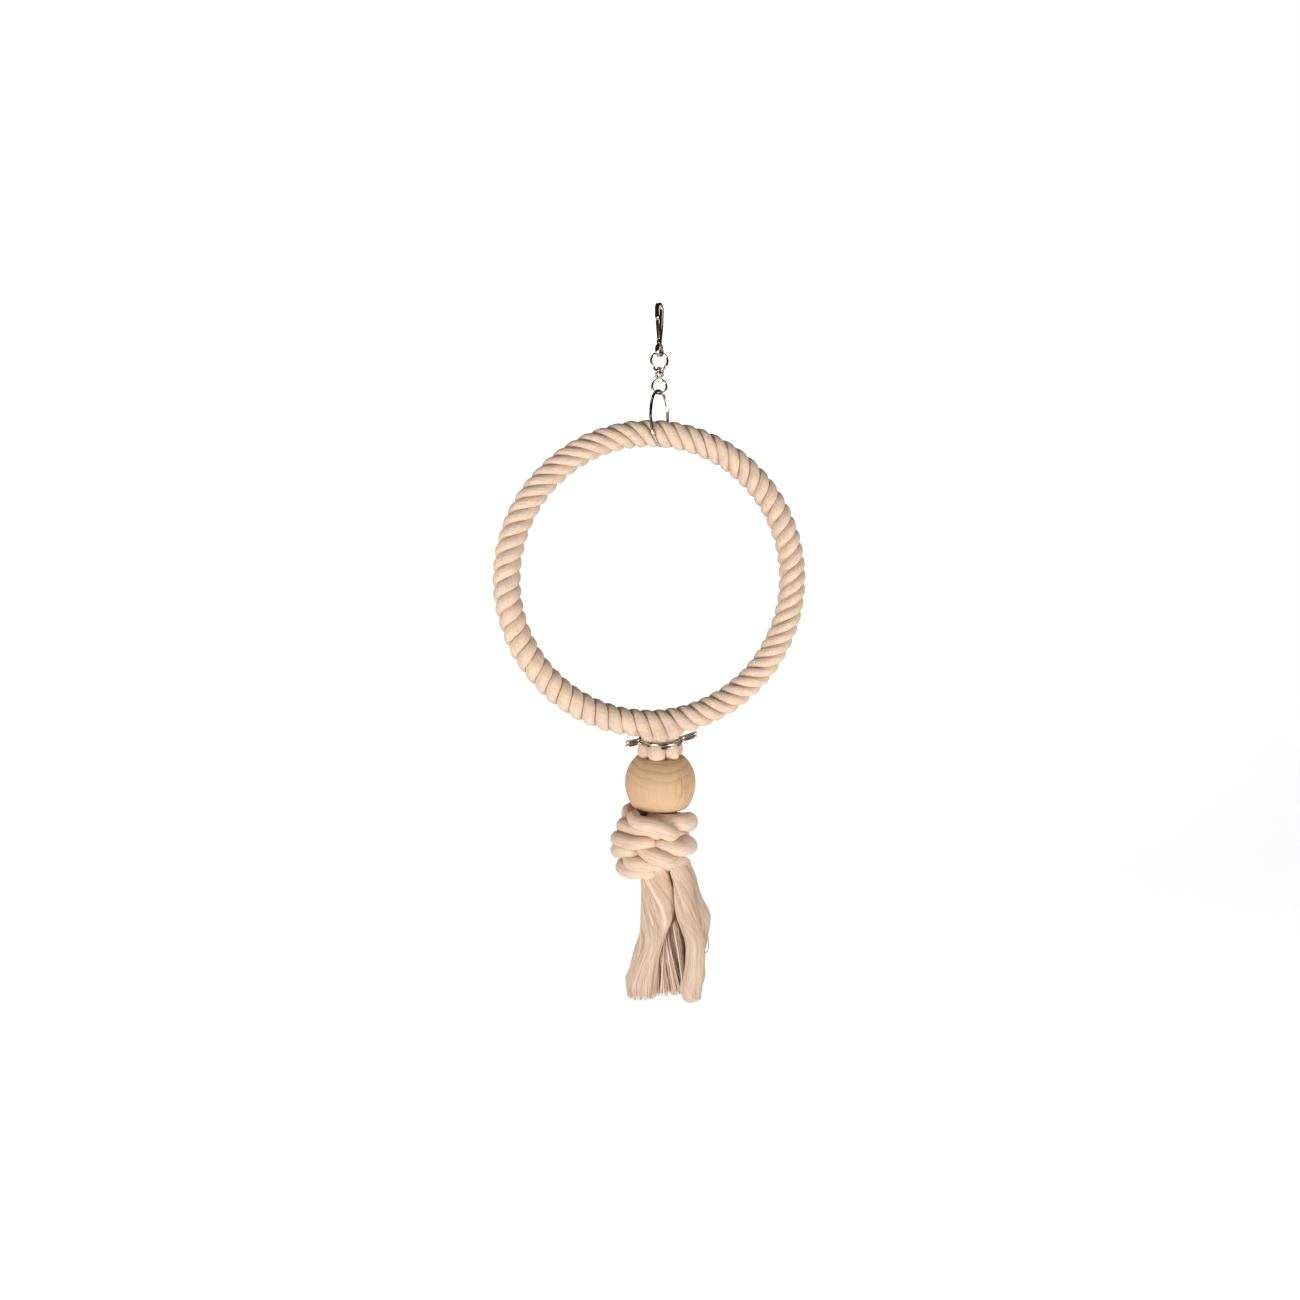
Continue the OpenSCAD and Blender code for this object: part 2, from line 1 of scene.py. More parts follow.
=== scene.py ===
# %% [markdown]
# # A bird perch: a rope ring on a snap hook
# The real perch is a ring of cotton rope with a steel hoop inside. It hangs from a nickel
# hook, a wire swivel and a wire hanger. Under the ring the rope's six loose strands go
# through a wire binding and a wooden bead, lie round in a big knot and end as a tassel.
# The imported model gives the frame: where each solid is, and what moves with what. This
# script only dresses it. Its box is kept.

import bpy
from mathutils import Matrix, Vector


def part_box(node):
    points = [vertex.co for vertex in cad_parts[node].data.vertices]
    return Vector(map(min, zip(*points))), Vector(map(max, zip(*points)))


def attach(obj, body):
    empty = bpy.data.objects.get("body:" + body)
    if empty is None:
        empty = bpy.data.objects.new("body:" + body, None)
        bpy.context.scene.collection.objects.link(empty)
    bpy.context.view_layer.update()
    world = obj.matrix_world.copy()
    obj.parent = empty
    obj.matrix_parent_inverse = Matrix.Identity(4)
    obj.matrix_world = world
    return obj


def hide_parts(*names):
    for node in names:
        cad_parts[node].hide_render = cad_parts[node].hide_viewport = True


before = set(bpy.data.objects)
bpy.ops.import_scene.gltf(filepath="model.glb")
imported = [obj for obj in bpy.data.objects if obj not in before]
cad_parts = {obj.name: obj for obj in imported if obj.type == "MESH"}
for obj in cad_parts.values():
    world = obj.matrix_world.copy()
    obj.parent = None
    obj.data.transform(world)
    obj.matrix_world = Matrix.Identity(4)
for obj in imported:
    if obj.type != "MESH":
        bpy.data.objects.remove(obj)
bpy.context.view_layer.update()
print("nodes:", len(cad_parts))

# %% [markdown]
# ## Sizes from the frame
# A size could be typed twice, once here and once in the construction. It is safer to
# measure it on the solids that came in, and to type only what a box can't tell. All
# working sizes are millimetres, and points become metres when a mesh is made.

# %% Measure the solids
from math import asin, atan2, cos, degrees, pi, radians, sin, sqrt

import bmesh
import bpy
import numpy as np
from mathutils import Vector

MM = 0.001


def box_mm(node):
    low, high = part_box(node)
    return np.array(low) / MM, np.array(high) / MM


hoop_low, hoop_high = box_mm("core_ring")
bead_low, bead_high = box_mm("wooden_bead")
core_low, core_high = box_mm("knot_core")
tassel_low = min(box_mm(f"tassel_bundle_{k}")[0][2] for k in range(1, 7))
HOOP_R = (hoop_high[1] - hoop_low[1]) / 2
RING_X = (hoop_low[0] + hoop_high[0]) / 2
RING_Z = (hoop_low[2] + hoop_high[2]) / 2
RING_R = (hoop_high[0] - hoop_low[0]) / 2 - HOOP_R
NECK_X = (bead_low[0] + bead_high[0]) / 2
BEAD_TOP, BEAD_FOOT = bead_high[2], bead_low[2]
KNOT_X = (core_low[0] + core_high[0]) / 2
print(f"ring centre {RING_X:.1f}, {RING_Z:.1f}, radius {RING_R:.1f} mm")
print(f"bead from {BEAD_TOP:.1f} to {BEAD_FOOT:.1f}, tassel ends at {tassel_low:.1f}")

# %% [markdown]
# ## Camera
# The photograph was taken from about three quarters of a metre away, a little left of the
# ring's axis, so the ring's left side is nearer. A camera could be tilted to frame the
# perch, but a level one with a small shift keeps upright things upright.

# %% Place the camera
CAMERA_AWAY = 0.75
CAMERA_TURN = radians(10)
CAMERA_AIM = Vector((-0.0076, 0, -0.2))
VIEW_WIDTH, VIEW_DOWN = 1.04, 0.0728
SENSOR = 36


def in_scene(name, data):
    """Makes an object of some data and puts it in the scene"""
    made = bpy.data.objects.new(name, data)
    bpy.context.scene.collection.objects.link(made)
    return made


camera_data = bpy.data.cameras.new("camera")
camera = in_scene("camera", camera_data)
back = Vector((-sin(CAMERA_TURN), -cos(CAMERA_TURN), 0))
camera.location = CAMERA_AIM + back * CAMERA_AWAY
camera.rotation_euler = (-back).to_track_quat("-Z", "Y").to_euler()
camera_data.sensor_width = SENSOR
camera_data.lens = SENSOR * CAMERA_AWAY / VIEW_WIDTH
camera_data.shift_y = -VIEW_DOWN / VIEW_WIDTH
camera_data.clip_start = 0.01
bpy.context.scene.camera = camera
print(f"lens {camera_data.lens:.1f} mm, shift {camera_data.shift_y:.3f}")

# %% [markdown]
# ## Helpers for finishes
# Every finish is a small tree of shader nodes. The helpers below only save typing: the
# first makes any node and sets its sockets, and the others make the few kinds that come
# back in each finish. A value that is the same everywhere goes straight onto the shader's
# own socket.


# %% Shader helpers
def add_node(tree, kind, settings=None, **inputs):
    """Makes a shader node. An input goes by its name, with _ for a space, or its number: i6"""
    made = tree.nodes.new("ShaderNode" + kind)
    for key, value in (settings or {}).items():
        setattr(made, key, value)
    for key, value in inputs.items():
        socket = made.inputs[int(key[1:]) if key[1:].isdigit() else key.replace("_", " ")]
        if isinstance(value, bpy.types.NodeSocket):
            tree.links.new(value, socket)
        else:
            socket.default_value = value
    return made


def start_material(name, **constants):
    made = bpy.data.materials.new(name)
    made.use_nodes = True
    shader = made.node_tree.nodes["Principled BSDF"]
    for key, value in constants.items():
        shader.inputs[key.replace("_", " ")].default_value = value
    return made, made.node_tree, shader


def sums(tree, operation, *values):
    """Works with sockets and plain numbers alike"""
    inputs = {f"i{n}": value for n, value in enumerate(values)}
    return add_node(tree, "Math", {"operation": operation}, **inputs).outputs[0]


def on_object(tree):
    return add_node(tree, "TexCoord").outputs["Object"]


def noise(tree, where, **settings):
    return add_node(tree, "TexNoise", None, Vector=where, **settings).outputs["Fac"]


def stretched(tree, where, scale):
    return add_node(tree, "Mapping", None, Vector=where, Scale=scale).outputs["Vector"]


def spread(tree, value, low, high, first=0.0, last=1.0):
    """A value that goes from low to high, spread from first to last"""
    return add_node(
        tree, "MapRange", None, Value=value, From_Min=low, From_Max=high, To_Min=first, To_Max=last
    ).outputs[0]


def mix(tree, share, under, over, blend="MIX"):
    settings = {"data_type": "RGBA", "blend_type": blend}
    return add_node(tree, "Mix", settings, i0=share, i6=under, i7=over).outputs[2]


def ramp(tree, value, stops):
    """A colour for each value between 0 and 1"""
    made = add_node(tree, "ValToRGB", None, Fac=value)
    elements = made.color_ramp.elements
    while len(elements) < len(stops):
        elements.new(0.5)
    for element, (position, colour) in zip(elements, stops):
        element.position = position
        element.color = (*colour, 1)
    return made.outputs["Color"]


def finish_surface(tree, shader, colour, height, strength, distance):
    """Links the colour, and a bump whose distance is in metres"""
    tree.links.new(colour, shader.inputs["Base Color"])
    bump = add_node(tree, "Bump", None, Strength=strength, Distance=distance, Height=height)
    tree.links.new(bump.outputs["Normal"], shader.inputs["Normal"])


print("shader helpers ready")

# %% [markdown]
# ## Nickel plate
# Bright nickel mirrors the room, so its look is mostly light and dark reflections. Real
# plate is never perfect: faint cloudy patches, and fine scratches from handling. Both
# come from noise: the patches set the colour and the roughness, and the scratches a fine bump.


# %% Metals
def plated(name, bright, darker, rough):
    made, tree, shader = start_material(name, Metallic=1.0, Specular_Tint=(0.1, 0.06, 0.035, 1))
    where = on_object(tree)
    cloud = noise(tree, where, Scale=180.0, Detail=4.0)
    scratch = noise(tree, where, Scale=2600.0, Detail=2.0)
    tree.links.new(spread(tree, cloud, 0.0, 1.0, rough, rough * 2.2), shader.inputs["Roughness"])
    colour = ramp(tree, cloud, [(0.35, darker), (0.6, bright)])
    finish_surface(tree, shader, colour, scratch, 0.12, 0.00004)
    return made


nickel = plated("nickel", (0.76, 0.67, 0.58), (0.6, 0.52, 0.45), 0.06)
spring_steel = plated("spring_steel", (0.66, 0.58, 0.5), (0.52, 0.45, 0.39), 0.1)
hoop_steel = plated("hoop_steel", (0.5, 0.5, 0.5), (0.36, 0.35, 0.34), 0.3)
print("metals:", nickel.name, spring_steel.name, hoop_steel.name)

# %% [markdown]
# ## Cotton
# The rope is natural cotton: cream with pinkish patches, matt, with fine fibres that run
# along the yarns. A texture that is fixed in space would run straight through the lay. So
# each strand carries its own straightened coordinates, called lay: how far along the
# strand a point is, and where it is across. Noise that is stretched along lay makes
# fibres that follow every turn. Every rope and tassel mesh also carries painted shade,
# from 0 to 1, which draws the colour towards a brown shade colour in the grooves, where
# strands touch, inside the knot and between the tassel's locks. On tassel yarns the same
# value also holds a random tone.

# %% Cotton finish
# SHADE is a painted shade colour: grooves, touching strands and gaps are drawn towards it.
CREAM, PINK, SHADE = (0.87, 0.655, 0.475), (0.78, 0.59, 0.465), (0.38, 0.22, 0.11)
TASSEL_CREAM, TASSEL_PINK = (0.9, 0.7, 0.53), (0.85, 0.67, 0.55)
FIBRES = [(0.3, (0.74, 0.68, 0.62)), (0.5, (0.97, 0.96, 0.95)), (0.7, (1.06, 1.05, 1.04))]


def cotton(name, cream, pink, grain):
    made, tree, shader = start_material(
        name, Sheen_Weight=0.35, Sheen_Roughness=0.5, Specular_IOR_Level=0.15, Roughness=0.95
    )
    lay = add_node(tree, "Attribute", {"attribute_name": "lay"}).outputs["Vector"]
    painted_shade_and_tone = add_node(tree, "Attribute", {"attribute_name": "painted_shade_and_tone"}).outputs["Fac"]
    fine = stretched(tree, lay, (0.05, grain, grain))
    fibre = noise(tree, fine, Scale=1.0, Detail=3.0, Roughness=0.6)
    patch = noise(tree, stretched(tree, lay, (0.03, 0.16, 0.16)), Scale=1.0, Detail=2.0)
    body = ramp(tree, patch, [(0.4, pink), (0.6, cream)])
    tinted = mix(tree, 0.8, body, ramp(tree, fibre, FIBRES), "MULTIPLY")
    fuzz = noise(tree, on_object(tree), Scale=1500.0, Detail=2.0)
    height = sums(tree, "MULTIPLY_ADD", fuzz, 0.25, fibre)
    # Painted shade: the colour is drawn towards SHADE by the value that each mesh carries.
    finish_surface(tree, shader, mix(tree, painted_shade_and_tone, tinted, (*SHADE, 1)), height, 0.5, 0.0003)
    return made


rope_cotton = cotton("rope_cotton", CREAM, PINK, 1.5)
tassel_cotton = cotton("tassel_cotton", TASSEL_CREAM, TASSEL_PINK, 2.2)
print("cotton finishes:", rope_cotton.name, tassel_cotton.name)

# %% [markdown]
# ## Wood
# The bead is sanded wood without lacquer. The cut runs through the growth rings at a
# slant, so they show as arcs on the sloping top and as upright lines on the side. A true
# cut through a tree would give both, but is hard to steer. Here the arcs are bands of the
# height less a parabola of the width, and they fade out below the shoulder. The upright
# grain is stretched noise, and one reddish streak sits where the real bead has it.

# %% Wood finish
ARC_BEND = -11.0
ARC_FADE = (-0.38, -0.366, 0.0, 0.85)
STREAK, STREAK_SIZE = (0.0135, -0.025, -0.378), (0.008, 0.02, 0.014)
ARCS = [(0, (1, 1, 1)), (0.5, (0.98, 0.96, 0.94)), (1, (0.78, 0.69, 0.6))]
GRAIN = [(0.3, (0.67, 0.44, 0.255)), (0.5, (0.7, 0.465, 0.275)), (0.7, (0.72, 0.485, 0.29))]
RED_GRAIN = [(0.4, (0.5, 0.26, 0.14)), (0.56, (0.72, 0.48, 0.3))]
PORES = [(0.3, (0.94, 0.91, 0.88)), (0.55, (1, 1, 1))]


def turned_wood():
    made, tree, shader = start_material("wood", Specular_IOR_Level=0.12, Roughness=0.6)
    where = on_object(tree)
    x, y, z = add_node(tree, "SeparateXYZ", None, Vector=where).outputs
    arch = sums(tree, "MULTIPLY_ADD", sums(tree, "MULTIPLY", x, x), ARC_BEND, z)
    arched = add_node(tree, "CombineXYZ", None, X=y, Z=arch).outputs[0]
    rings = add_node(
        tree, "TexWave", {"wave_type": "BANDS", "bands_direction": "Z", "wave_profile": "SAW"},
        Vector=arched, Scale=48.0, Distortion=4.0, Detail=2.0, Detail_Scale=1.2,
    )
    upright = stretched(tree, where, (1, 1, 0.05))
    line = noise(tree, upright, Scale=330.0, Detail=4.0, Roughness=0.65)
    pore = noise(tree, upright, Scale=1500.0, Detail=2.0)
    spot = add_node(
        tree, "Mapping", {"vector_type": "TEXTURE"}, Vector=where, Location=STREAK, Scale=STREAK_SIZE
    )
    near = add_node(tree, "VectorMath", {"operation": "LENGTH"}, i0=spot.outputs["Vector"])
    patch = spread(tree, near.outputs["Value"], 0.2, 1.0, 1.0, 0.0)
    body = mix(tree, patch, ramp(tree, line, GRAIN), ramp(tree, line, RED_GRAIN))
    arcs = ramp(tree, rings.outputs["Fac"], ARCS)
    body = mix(tree, spread(tree, z, *ARC_FADE), body, arcs, "MULTIPLY")
    body = mix(tree, 0.6, body, ramp(tree, pore, PORES), "MULTIPLY")
    finish_surface(tree, shader, body, pore, 0.2, 0.0001)
    return made


wood = turned_wood()
print("wood finish:", wood.name)

# %% [markdown]
# ## Helpers for wires and strands
# A wire or a strand is a round section that is swept along a line. A curve object with a
# bevel could do that, but here the section has to swell, sink and carry the lay
# coordinates, so the rings of points are laid out one by one. The section keeps its own
# direction from ring to ring, so that it doesn't twist by itself.


# %% Lines
def smooth(points, steps, closed=False):
    """A soft line through chosen points, with a few steps between each pair"""
    pts = np.array(points, float)
    if closed:
        four = [np.roll(pts, -j, 0) for j in (-1, 0, 1, 2)]
    else:
        wide = np.concatenate([pts[:1], pts, pts[-1:]])
        four = wide[:-3], wide[1:-2], wide[2:-1], wide[3:]
    a, b, c, d = (p[:, None] for p in four)
    s = np.arange(steps)[:, None] / steps
    bend, twist = 2 * a - 5 * b + 4 * c - d, 3 * b - a - 3 * c + d
    out = (0.5 * (2 * b + (c - a) * s + bend * s**2 + twist * s**3)).reshape(-1, pts.shape[1])
    return out if closed else np.concatenate([out, pts[-1:]])


def spokes(path, sides, closed, start):
    """The angles of a round section, and at each point of a line the ways out from it"""
    run = np.roll(path, -1, 0) - np.roll(path, 1, 0) if closed else np.gradient(path, axis=0)
    run /= np.linalg.norm(run, axis=1)[:, None]
    first = np.zeros_like(path)
    v = np.array(start, float)
    for i, t in enumerate(run):
        v = v - t * (v @ t)
        v /= np.linalg.norm(v)
        first[i] = v
    if closed:
        end = first[-1] - run[0] * (first[-1] @ run[0])
        end /= np.linalg.norm(end)
        slip = atan2(np.cross(first[0], end) @ run[0], first[0] @ end)
        turn = -slip * np.arange(len(path)) / len(path)
        first = first * np.cos(turn)[:, None] + np.cross(run, first) * np.sin(turn)[:, None]
    first, second = first[:, None], np.cross(run, first)[:, None]
    angle = np.arange(sides) * 2 * pi / sides
    return angle, np.cos(angle)[:, None] * first + np.sin(angle)[:, None] * second


def upright_line(x, z):
    return np.stack([x + 0 * z, 0 * z, z], -1)


print("line helpers ready")

# %% Meshes
CAP_RINGS = 3


def place(name, mesh, finish, body, replaced=()):
    """Makes a piece of a mesh, with its finish, its body and the nodes that it stands for"""
    obj = in_scene(name, mesh)
    mesh.materials.clear()
    mesh.materials.append(finish)
    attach(obj, body)
    if replaced:
        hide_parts(*replaced)
    return obj


def set_painted_shade_and_tone(mesh, painted_shade_and_tone):
    """Painted shade at each point, from 0 to 1, which the finish mixes into the colour; on tassel yarns it
    also holds a random tone
    """
    mesh.attributes["painted_shade_and_tone"].data.foreach_set("value", painted_shade_and_tone.astype(np.float32).ravel())


def skin(name, points, faces, lay=None, painted_shade_and_tone=None):
    """A smooth mesh of points in millimetres, which may keep lay and painted shade and tone at each point
    """
    mesh = bpy.data.meshes.new(name)
    mesh.from_pydata((points.reshape(-1, 3) * MM).tolist(), [], faces)
    mesh.shade_smooth()
    if lay is not None:
        made = mesh.attributes.new("lay", "FLOAT_VECTOR", "POINT")
        made.data.foreach_set("vector", lay.astype(np.float32).ravel())
        mesh.attributes.new("painted_shade_and_tone", "FLOAT", "POINT")
        set_painted_shade_and_tone(mesh, painted_shade_and_tone)
    return mesh


def grid_faces(m, n, closed, base=0):
    """Faces over m rings of n points, with flat ends where they are open"""
    i, j = np.meshgrid(np.arange(m if closed else m - 1), np.arange(n), indexing="ij")
    here, there = base + i * n, base + (i + 1) % m * n
    side = (j + 1) % n
    faces = np.stack([here + j, here + side, there + side, there + j], -1).reshape(-1, 4).tolist()
    if not closed:
        last = base + (m - 1) * n
        faces += [list(range(base, base + n))[::-1], list(range(last, last + n))]
    return faces


def grid_mesh(name, rings, closed, lay=None, painted_shade_and_tone=None):
    return skin(name, rings, grid_faces(*rings.shape[:2], closed), lay, painted_shade_and_tone)


def tube(name, path, radii, sides, closed=False, start=(0, 0, 1), twist=0.0, swell=None):
    """A swept round section. Twist is how far the fibres turn, in degrees a millimetre."""
    m = len(path)
    radii = np.broadcast_to(np.array(radii, float), (m,))
    step = np.linalg.norm(np.diff(path, axis=0), axis=1)
    far = np.concatenate([[0], np.cumsum(step)])
    angle, ways = spokes(path, sides, closed, start)
    r = radii[:, None] * np.ones(sides)
    if swell is not None:
        r = r * swell(far, angle)
    turned = angle[None] + np.radians(twist) * far[:, None]
    lay = np.stack(
        [far[:, None] + 0 * turned, radii[:, None] * np.cos(turned), radii[:, None] * np.sin(turned)], -1
    )
    rings = path[:, None] + r[..., None] * ways
    return grid_mesh(name, rings, closed, lay, np.zeros((m, sides)))


def rounded(path, radii):
    """A line with extra points at both ends, where its radii close"""
    radii = np.broadcast_to(np.array(radii, float), (len(path),))
    turns = np.linspace(0, pi / 2, CAP_RINGS + 1)[:-1]

    def beyond(end, inner, radius):
        way = (end - inner) / np.linalg.norm(end - inner)
        return end + way * radius * np.cos(turns)[:, None]

    head, tail = beyond(path[0], path[1], radii[0]), beyond(path[-1], path[-2], radii[-1])
    ends = np.sin(turns) * 0.98 + 0.02
    closing = np.concatenate([radii[0] * ends, radii, radii[-1] * ends[::-1]])
    return np.concatenate([head, path, tail[::-1]]), closing


def bent_wire(name, points, radius, sides, body, node, start):
    """A nickel wire with rounded ends, for the node that it stands for"""
    line, radii = rounded(points, radius)
    place(name, tube(name, line, radii, sides, start=start), nickel, body, [node])
    print(f"{name}: {len(line)} rings")


print("mesh helpers ready")

# %% [markdown]
# ## Snap hook
# The hook is one flat strip, bent round, with a leaf spring for a gate and a rivet through
# the pinch. Its solids already have the right outline, but cut edges are perfectly sharp
# in a solid, and a sharp edge never catches the light. So each piece is a copy with its
# edges eased by a fine bevel, as tumbling does to the real ones before plating.

# %% Hook, gate and rivet
SAME_POINT = 0.000002
FLAT_BELOW, EDGE_ABOVE = radians(0.6), radians(35)


def eased(node, name, finish, body, width):
    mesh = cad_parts[node].data.copy()
    mesh.name = name
    work = bmesh.new()
    work.from_mesh(mesh)
    bmesh.ops.remove_doubles(work, verts=work.verts, dist=SAME_POINT)
    bmesh.ops.dissolve_limit(work, angle_limit=FLAT_BELOW, verts=work.verts, edges=work.edges)
    work.to_mesh(mesh)
    work.free()
    mesh.shade_smooth()
    bevel = place(name, mesh, finish, body, [node]).modifiers.new("eased", "BEVEL")
    bevel.width = width * MM
    bevel.segments = 3
    bevel.limit_method = "ANGLE"
    bevel.angle_limit = EDGE_ABOVE
    bevel.harden_normals = True


eased("hook_body", "hook_strip", nickel, "hook", 0.35)
eased("gate_rivet", "rivet", nickel, "hook", 0.08)
eased("hook_gate", "gate_leaf", spring_steel, "gate", 0.15)
print("hook, rivet and gate eased")

# %% [markdown]
# ## Swivel
# The upper half of the swivel is one wire: it goes round the eye, then winds down round
# the stem of the lower half. It is swept along the same line as its solid, with more
# steps. The lower half is a stem with a domed head; below the coil it opens into a second,
# pear-shaped eye.

# %% Swivel
EYE_WIRE_R, EYE_MID_R, EYE_Z, EYE_SWEEP = 1.0, 6.65, -41.2, 282
COIL_MID_R, COIL_TOP, COIL_PITCH, COIL_STEPS = 2.8, -48.85, 2.5, 14
SHOULDER = (4.0, COIL_TOP + EYE_WIRE_R)
FOOT_MID_R, FOOT_Z, STEM_FOOT = 5.75, -61.9, -54.6
STEM_Z = np.array([-55.2, -54.9, -54.2, -47.55, -47.55, -47.3, -46.8, -46.3, -45.9, -45.75])
STEM_R = [0.5, 1.3, 1.5, 1.5, 2.25, 2.4, 2.2, 1.6, 0.8, 0.1]


def eye_wire():
    """Round the eye, over a shoulder, and two turns down round the stem"""
    around = np.linspace(0, 1, 27)
    a = np.radians(270 + (360 - EYE_SWEEP) / 2 + EYE_SWEEP * around)
    lean = (around - 0.5) * 0.4 * EYE_WIRE_R
    eye = np.stack([EYE_MID_R * np.cos(a), lean, EYE_Z + EYE_MID_R * np.sin(a)], -1)
    turn = np.arange(1, 2 * COIL_STEPS + 1) / COIL_STEPS
    c = np.radians(180 + 360 * turn)
    coil = np.stack([COIL_MID_R * np.cos(c), COIL_MID_R * np.sin(c), COIL_TOP - COIL_PITCH * turn], -1)
    right, left = ([[side * SHOULDER[0], 0, SHOULDER[1]]] for side in (1, -1))
    return smooth(np.concatenate([right, eye, left, coil]), 3)


def foot_wire():
    """A pear-shaped loop whose two ends meet in the stem"""
    a = np.radians(np.linspace(122, 418, 40))
    loop = np.stack([FOOT_MID_R * np.cos(a), 0 * a, FOOT_Z + FOOT_MID_R * np.sin(a)], -1)
    neck = [[0.75, 0, STEM_FOOT], [1.1, 0, STEM_FOOT - 0.9]]
    left = [[-x, y, z] for x, y, z in neck]
    return smooth(np.concatenate([left, loop, neck[::-1]]), 2)


bent_wire("swivel_wire", eye_wire(), EYE_WIRE_R, 20, "swivel_top", "upper_eye", (0, 1, 0))
bent_wire("swivel_foot_wire", foot_wire(), EYE_WIRE_R, 20, "swivel_foot", "lower_eye", (0, 1, 0))
mesh = tube("swivel_stem", upright_line(0, STEM_Z), STEM_R, 32, start=(1, 0, 0))
place("swivel_stem", mesh, nickel, "swivel_foot")

# %% [markdown]
# ## Hanger
# The hanger is a closed loop of wire: over the swivel's lower eye, down both sides of the
# rope, and through one of its grooves underneath. The points follow its solid.

# %% Hanger
ROPE_R, LAY_TURNS, GROOVE_R = 11.0, 22, 7.155
HANGER_WIRE_R, HANGER_CROWN, HANGER_TOP = 1.2, 20.0, -65.15
HANGER_TURN = radians(54)
GROOVE_RING_A = 90 - degrees(asin(-RING_X / (RING_R - ROPE_R)))
SEAT_R = GROOVE_R + HANGER_WIRE_R + 0.9
LEG_OUT = ROPE_R + HANGER_WIRE_R + 0.6


def on_rope(ring_a, r, rope_a):
    """A place on the rope: angle round the ring, distance from its centre, angle round it"""
    a, t = np.radians(ring_a), np.radians(rope_a)
    out = RING_R + r * np.cos(t)
    return np.stack([RING_X + out * np.cos(a), r * np.sin(t) + 0 * a, RING_Z + out * np.sin(a)], -1)


def hanger_line():
    across = np.array([cos(HANGER_TURN), sin(HANGER_TURN), 0])
    reach = LEG_OUT / sin(HANGER_TURN)

    def crown(s):
        a = pi / 2 * s
        return reach * sin(a) * across + [0, 0, HANGER_TOP - HANGER_CROWN * (1 - cos(a))]

    def leg(side):
        return reach * side * across + [0, 0, RING_Z + RING_R + ROPE_R]

    points = [crown(i / 6) for i in range(7)] + [leg(1)]
    for turn in range(-90, 91, 15):
        out = (max(0, abs(turn) - 40) / 50) ** 2
        r = SEAT_R + (LEG_OUT - SEAT_R) * out
        points.append(on_rope(GROOVE_RING_A + turn / LAY_TURNS, r, 180 + turn))
    points += [leg(-1)] + [crown(i / 6) for i in range(-6, 0)]
    return smooth(points, 6, closed=True)


hanger_path = hanger_line()
mesh = tube("hanger_wire", hanger_path, HANGER_WIRE_R, 20, closed=True, start=(1, -1, 0))
place("hanger_wire", mesh, nickel, "ring", ["hanger_loop"])
print("hanger wire:", len(hanger_path), "rings")

# %% [markdown]
# ## The rope ring
# Three strands wind round the steel hoop. On a real rope each strand shows as a row of
# plump backs with grooves between them. Each strand is swept in the rope's own
# coordinates: the angle round the ring, and the angle round the rope. The lay isn't
# perfectly even, because the rope was pushed over the hoop by hand, so in some places the
# backs stand steeper than in others. The table gives that slip, in millimetres.

# %% Lay of the rope
LAY_STEPS, BACK_STEPS = 32, 33
LAY_SLIP = [
    (0, 1.1), (30, -1.3), (55, 1), (72, 2), (81, 0), (87, 0), (93, 0), (102, 2), (118, 4),
    (150, 1.1), (180, -1.7), (225, -2.5), (255, -2.7), (272, -1.7), (285, 0), (330, 2.4),
]
LAY_DRIFT = -40


def wobble(seed, waves, size, where):
    """Even, endless unevenness along a closed line: a few waves with chosen seeds"""
    rng = np.random.default_rng(seed)
    out = np.zeros_like(where, float)
    for w in waves:
        out = out + rng.normal() * np.sin(np.radians(where) * w + rng.uniform(0, 6.28))
    return size * out / sqrt(len(waves))


def slip_at(ring_a):
    """The table's slip, eased over a few degrees"""
    table = np.array(LAY_SLIP)
    a, s = np.concatenate([table[-2:] - [360, 0], table, table[:2] + [360, 0]]).T
    return sum(np.interp(np.mod(ring_a + d, 360), a, s) for d in (-5, -2.5, 0, 2.5, 5)) / 5


def in_lay(ring_a, r, rope_a):
    """A place on the rope, moved by the slip of its lay"""
    slip = slip_at(ring_a) * np.cos(np.radians(rope_a)) / RING_R
    return on_rope(ring_a + np.degrees(slip), r, rope_a)


def strand_centre(k, ring_a):
    """Where strand k's back faces at a place on the ring, as an angle round the rope"""
    drift = LAY_DRIFT * (1 - np.cos(np.radians(ring_a - GROOVE_RING_A))) / 2
    return 180 + LAY_TURNS * (ring_a - GROOVE_RING_A) + 60 + 120 * k + drift


print("backs along the ring:", 3 * LAY_TURNS)

# %% Strand sections
GROOVE_DEPTH, BACK_LEAN, BACK_POWER = 3.0, 0.08, 2.5
THIRD_HALF, STRAND_GAP = 60, 0.9
INNER_R = [3.6, 3.2, 3.2, 3.6]
HANGER_NEAR_X, HANGER_NEAR_Z = 16, 14


def strand_section():
    """Angles and distances round one strand: a broad back, and a plain inner side"""
    half = THIRD_HALF - STRAND_GAP
    back = np.sin(np.linspace(-pi / 2, pi / 2, BACK_STEPS)) * half
    u = back / THIRD_HALF
    back_r = ROPE_R - GROOVE_DEPTH * np.abs(u + BACK_LEAN * (1 - u * u)) ** BACK_POWER
    inner = np.array([half, half * 0.5, -half * 0.5, -half])
    return np.concatenate([back, inner]), np.concatenate([back_r, INNER_R])


def pressed(points, path, reach):
    """Moves the points that lie within reach of a wire out to its surface"""
    flat = points.reshape(-1, 3)
    near = np.abs(flat[:, 0] - path[:, 0].mean()) < HANGER_NEAR_X
    near &= flat[:, 2] > RING_Z + RING_R - HANGER_NEAR_Z
    some = flat[near]
    gap = some[:, None] - path[None]
    far = np.linalg.norm(gap, axis=2)
    best = far.argmin(1)
    away = far.min(1)[:, None]
    push = gap[np.arange(len(some)), best] / away
    flat[near] = np.where(away < reach, path[best] + push * reach, some)
    return flat.reshape(points.shape)


